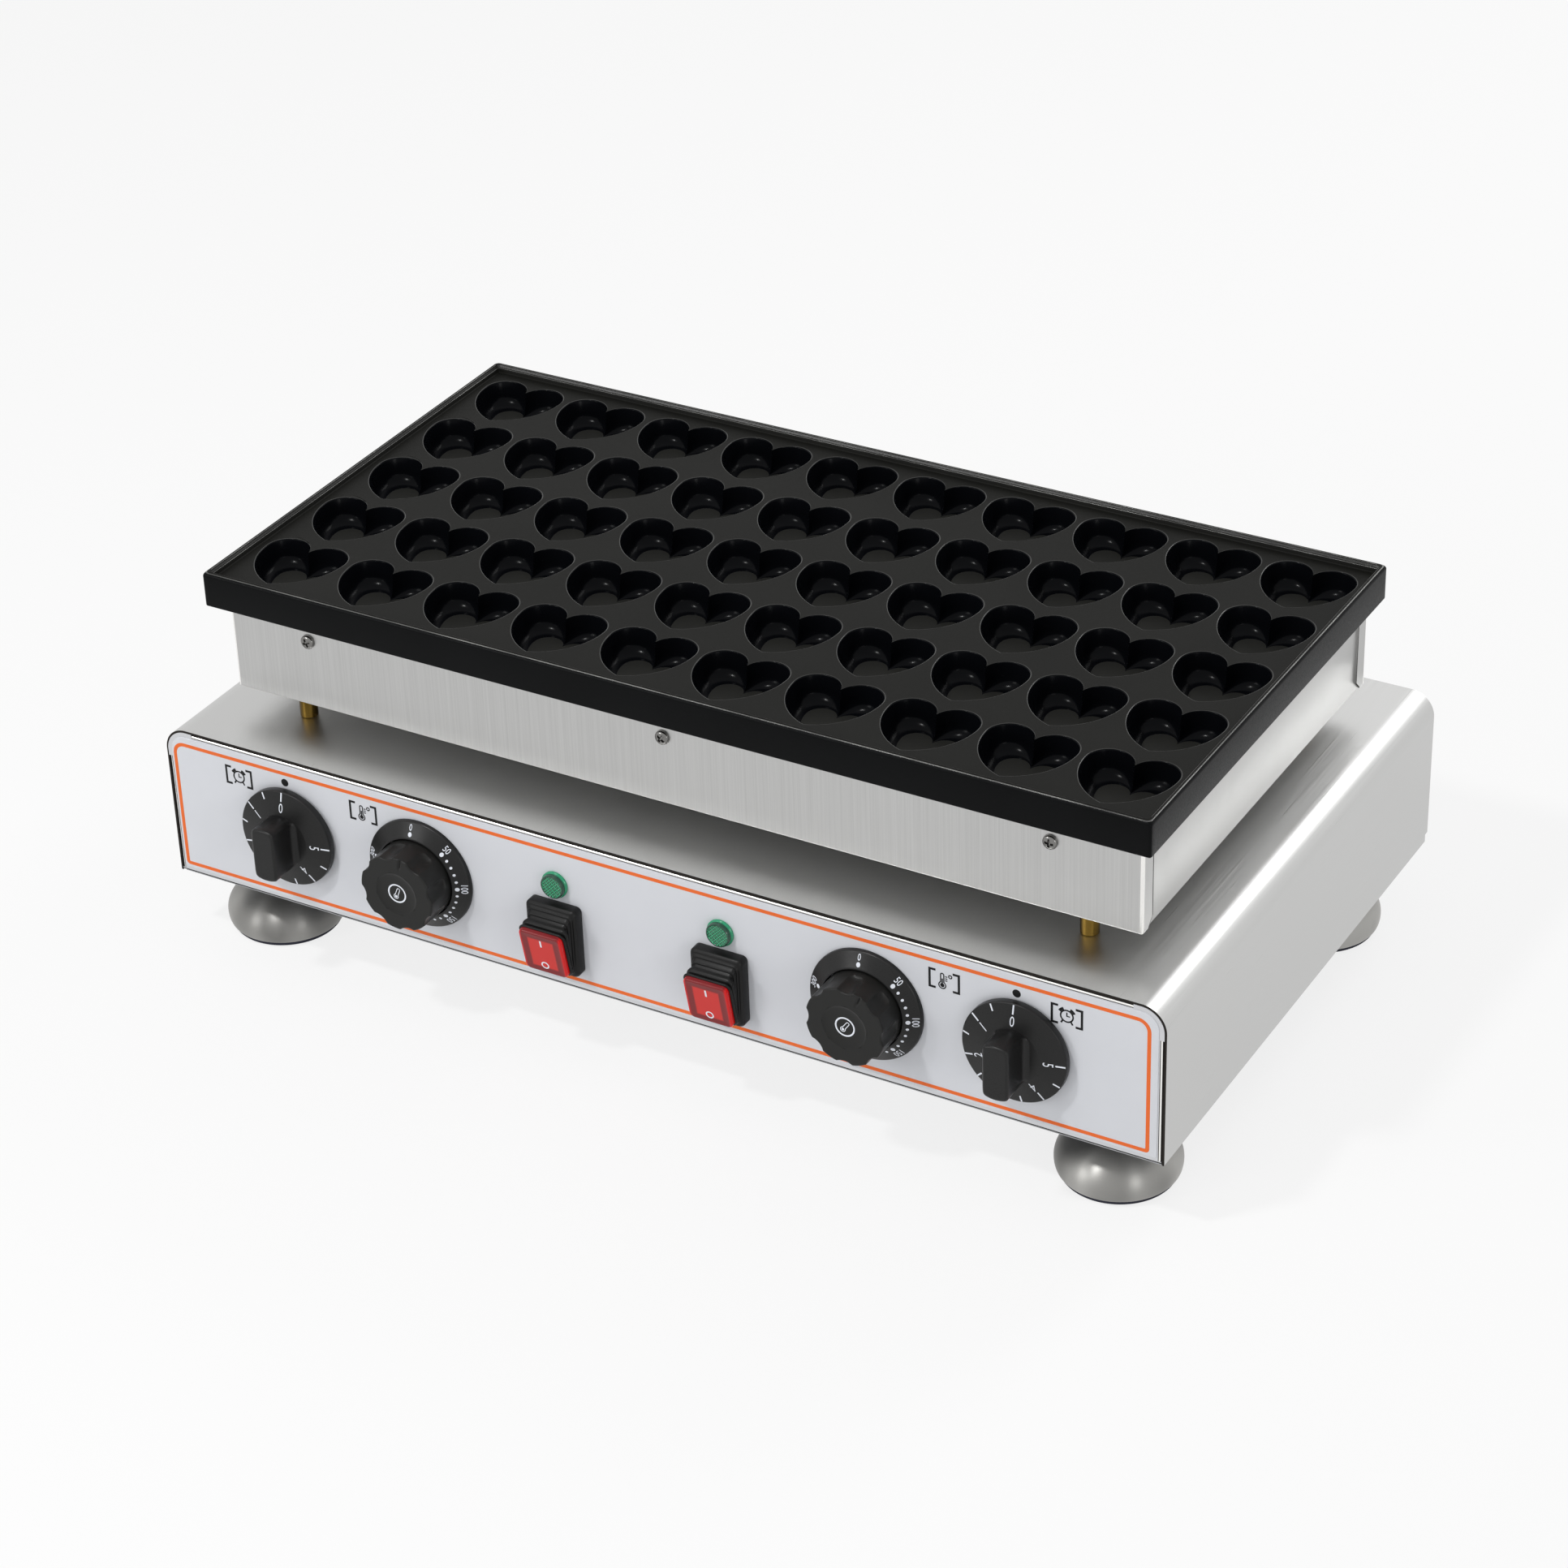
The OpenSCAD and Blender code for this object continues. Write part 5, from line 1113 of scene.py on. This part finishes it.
# the switches; a row of the boot is width, height, distance out and corner radius
switch = Settings(z=low + 32.85, pivotBack=1.0, tilt=12.0, capW=26.0, capH=28.0, capR=3.2, reach=18.0, capT=4.0,
                  capEdge=1.1, foldStart=7.4, foldRun=5.2)
bootRows = [
    (27.4, 37.4, 0.4, 1.0), (30.6, 40.7, 0.4, 3.0), (30.9, 41.0, 0.7, 3.0), (30.9, 41.0, 5.6, 3.0),
    (30.6, 40.7, 6.2, 3.0), (29.0, 39.0, 7.3, 2.6), (28.6, 38.4, 7.4, 2.5), (27.4, 35.8, 7.45, 2.5),
    (27.0, 35.2, 7.9, 2.5), (26.6, 34.6, 8.15, 2.5), (25.6, 33.0, 8.1, 2.5), (25.2, 32.6, 8.5, 2.4),
    (25.2, 31.6, 9.1, 2.4), (24.8, 30.9, 9.35, 2.4), (24.0, 29.2, 9.3, 2.4), (23.8, 28.6, 9.8, 2.4),
    (25.6, 28.4, 10.1, 2.8), (27.2, 28.8, 10.5, 3.4), (27.8, 29.2, 11.0, 3.6), (27.6, 29.0, 11.55, 3.6),
    (26.4, 27.8, 11.9, 3.2), (24.4, 25.8, 12.1, 2.8), (24.2, 25.6, 12.5, 2.8), (26.0, 27.2, 12.75, 3.2),
    (28.0, 29.0, 13.0, 3.8), (28.6, 29.6, 13.5, 4.0), (28.5, 29.5, 14.0, 4.0), (27.6, 28.6, 14.35, 3.8),
    (26.4, 27.6, 14.4, 3.4), (24.0, 25.4, 14.0, 2.8), (20.0, 20.0, 13.65, 2.4), (19.0, 17.2, 13.4, 2.0),
    (19.0, 17.2, 9.4, 2.0), (24.0, 30.0, 7.0, 2.0), (27.2, 37.2, 5.4, 1.0)]


def atPivot(local, x, turn):
    # local points are right, up and out from the pivot; turn tips the top outward, in degrees
    t = np.radians(turn)
    y = front + switch.pivotBack - local[..., 2] * np.cos(t) - local[..., 1] * np.sin(t)
    z = switch.z - local[..., 2] * np.sin(t) + local[..., 1] * np.cos(t)
    return np.stack([x + local[..., 0], y, z], -1)


def rockerCap():
    # rings of a rounded rectangle from the back edge to the front, its front edge a quarter circle, then a sunk face
    k = switch
    e, behind = k.capEdge, k.reach - k.capT
    steps = [(0.8, behind), (0.2, behind + 0.4), (0.0, behind + 1.0), (0.0, k.reach - e)]
    steps += [(inset, k.reach - down) for down, inset in roundOver(e, 6, 15)]
    steps += [(e + 0.3, k.reach), (e + 0.7, k.reach - 0.06), (4.2, k.reach - 0.16), (9.0, k.reach - 0.16)]
    return fanned([raised(roundedOutline(k.capW - 2 * inset, k.capH - 2 * inset, max(0.3, k.capR - inset * 0.7), 10),
                          out) for inset, out in steps])


def boxShape(w, h, start, end):
    # a bar with slightly rounded corners, between two distances out
    return lofted([raised(roundedOutline(w, h, 0.5, 3), out) for out in (start, end)])


def bootShape(x):
    # rings of rounded rectangles: base, chamfer, small steps, folds, then back inside; the tilt grows from none to the
    # rocker's over the folds, by 3 s squared less 2 s cubed for a share s of the way
    k = switch
    rings = []
    for w, h, out, r in bootRows:
        share = np.clip((out - k.foldStart) / k.foldRun, 0, 1)
        rings.append(atPivot(raised(roundedOutline(w, h, r), out + k.pivotBack), x,
                             k.tilt * share * share * (3 - 2 * share)))
    return lofted(rings, ring=True)


# the rocker: cap, stem, tail and pivot pin; on its face a stroke and a ring, each a thin plate
pin = turned([[1.5, -13.3], [1.5, 13.3]], 32)[..., [2, 1, 0]]
rockerParts = [rockerCap(), boxShape(16.0, 12.0, -3.0, 14.1), boxShape(4.0, 4.0, -10.0, -2.9), lofted(pin)]
facePlace = np.concatenate([points[:, :2] / [switch.capW / 2, switch.capH / 2] for points, _ in rockerParts])
letters = [strokeShape([[0.0, 5.0], [0.0, 9.4]], 1.0), ringShape(0.0, -8.2, 2.0, 0.75, 28)]
for side, x in (("left", -switchX), ("right", switchX)):
    rider = "switch_" + side
    shapes = [outward(atPivot(points, x, switch.tilt), faces) for points, faces in rockerParts]
    makePiece("rocker_cap_" + side, joined(shapes), redRocker, [rider + "_rocker"], rider, sharp=50,
              uv=facePlace, uvName="face")
    shapes = [thickened(*(atPivot(raised(flat, switch.reach - sunk), x, switch.tilt) for sunk in (0.06, 0.3)), faces)
              for flat, faces in letters]
    makePiece("rocker_letters_" + side, joined(shapes), paleInk, (), rider)
    boot = makePiece("switch_bellows_" + side, bootShape(x), bootRubber, [rider + "_boot"], sharp=60)
    boot.parent = None
    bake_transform(boot)
print("switches made")

# the pilot lamps
lamp = Settings(z=low + 63.5, flangeR=7.75, flangeOut=2.0, lensR=6.95, out=4.5, rimW=1.0, cell=1.25, relief=0.4,
                sunk=0.25, round=144)


def lensShape():
    # flange, wall, a plain rounded rim, then a face of small pyramids inside the rim
    k = lamp
    rings = turned([[3.0, 0.4], [k.flangeR - 0.2, 0.4], [k.flangeR, 0.7], [k.flangeR, k.flangeOut - 0.4],
                    [k.flangeR - 0.3, k.flangeOut - 0.05], [k.flangeR - 0.6, k.flangeOut],
                    [k.lensR, k.flangeOut + 0.15], [k.lensR, k.out - 0.8], [k.lensR - 0.12, k.out - 0.4],
                    [k.lensR - 0.4, k.out - 0.1], [k.lensR - 0.7, k.out], [k.lensR - k.rimW, k.out - 0.1]], k.round)
    face = turned([[r, 0] for r in np.linspace(k.lensR - k.rimW - 0.2, 0.15, 44)], k.round)
    u, v = (face[..., 0] + face[..., 1]) / k.cell, (face[..., 0] - face[..., 1]) / k.cell
    peak = 1 - np.maximum(np.abs(u % 1 - 0.5), np.abs(v % 1 - 0.5)) * 2
    face[..., 2] = k.out - k.sunk - k.relief + k.relief * peak
    return fanned(np.concatenate([rings, face]))


lens = lensShape()
lenses = [placedOnPanel(lens, x, lamp.z) for x in (-switchX, switchX)]
strip = np.repeat(np.arange(len(lens[0]) // lamp.round - 1), lamp.round)
lensBands = np.concatenate([np.select([strip < 6, strip < 11], [1, 2], 0), np.full(lamp.round, 1),
                            np.zeros(lamp.round, int)])
makePiece("pilot_lenses", joined(lenses), [greenLens, lensRim, lensRing], ["lamp_lenses"], sharp=25,
          which=np.tile(lensBands, 2))
print("lamps made")

# nodes of the frame that keep their own shape, by finish
for finish, names in (
        (litBaseSheet, "casing_base"), (board, "insulation_board"), (sheath, "element_left element_right"),
        (copper, "sensor_left sensor_right"), (coverSheet, "bottom_cover"), (ceramic, "terminal_block"),
        (brass, "earth_terminal"), (darkMoulding, "switch_left_body switch_right_body cable_gland gland_nut"),
        (paleMoulding, "timer_left_body timer_right_body thermostat_left_body thermostat_right_body lamp_bodies"),
        (boltSteel, "element_clamps clamp_screws sensor_clips wire_conduits standoff_studs standoff_nuts foot_bolts "
                    "foot_nuts timer_left_shaft timer_right_shaft thermostat_left_shaft thermostat_right_shaft "
                    "control_nuts")):
    for name in names.split():
        materials = nodes[name].data.materials
        for index in range(len(materials)):
            materials[index] = finish
        if not materials:
            materials.append(finish)

# floor, light and camera
studio = Settings(floorTone=(238, 238, 238), floorLift=0.8, ambient=0.5, sky=1.0, aim=(0, 0, 0.1))
# a lamp's place, size and power, in metres and watts
lamps = {"top_box": ((-0.4, -0.95, 1.8), 0.16, 14), "front_box": ((-1.2, -1.9, 0.9), 0.6, 8),
         "right_box": ((1.7, -1.2, 0.5), 0.5, 4), "back_box": ((0.65, 1.9, 1.55), 0.7, 12)}
view = Settings(lens=95.86, place=(0.98832, -1.68232, 1.27665), right=(0.86884, 0.49422, -0.02955),
                up=(-0.2355, 0.4650, 0.8534), ahead=(-0.43551, 0.73451, -0.52041))


def seenRays(tree):
    # 1 for rays that the camera sees, straight, mirrored or through glass, and 0 for light
    rays = addNode(tree, "ShaderNodeLightPath").outputs
    return reckon(tree, "MAXIMUM", reckon(tree, "MAXIMUM", rays["Is Camera Ray"], rays["Is Glossy Ray"]),
                  rays["Is Transmission Ray"])


bpy.ops.mesh.primitive_plane_add(size=14, location=(0, 0, 0))
floorPlane = bpy.context.object
floorPlane.name = "studio_floor"
floorMaterial, tree, shader = newFinish("studio floor", studio.floorTone, 0, 0.9)
glow = addNode(tree, "ShaderNodeEmission", {"Color": (1, 1, 1, 1), "Strength": 1.0})
mix = addNode(tree, "ShaderNodeMixShader", {"Fac": reckon(tree, "MULTIPLY", seenRays(tree), studio.floorLift),
                                            1: shader.outputs["BSDF"], 2: glow.outputs["Emission"]})
setInputs(tree.nodes["Material Output"], {"Surface": mix.outputs["Shader"]})
floorPlane.data.materials.append(floorMaterial)

world = bpy.data.worlds.new("studio")
bpy.context.scene.world = world
world.use_nodes = True
tree = world.node_tree
level = addNode(tree, "ShaderNodeMapRange", {"Value": seenRays(tree), "To Min": studio.ambient, "To Max": studio.sky})
setInputs(tree.nodes["Background"], {"Color": (1, 1, 1, 1), "Strength": level.outputs["Result"]})

for name, (place, size, power) in lamps.items():
    data = bpy.data.lights.new(name, "AREA")
    data.size = size
    data.energy = power
    holder = bpy.data.objects.new(name, data)
    holder.location = place
    holder.rotation_euler = (Vector(studio.aim) - Vector(place)).to_track_quat("-Z", "Y").to_euler()
    bpy.context.scene.collection.objects.link(holder)

camera = bpy.data.objects.new("photo_camera", bpy.data.cameras.new("photo_camera"))
camera.data.lens = view.lens
camera.data.sensor_width = 36
right, up, ahead = (Vector(view[key]).normalized() for key in ("right", "up", "ahead"))
camera.matrix_world = Matrix.Translation(view.place) @ Matrix((right, up, -ahead)).transposed().to_4x4()
bpy.context.scene.collection.objects.link(camera)
bpy.context.scene.camera = camera
bpy.context.scene.view_settings.view_transform = "Standard"
print("studio made")
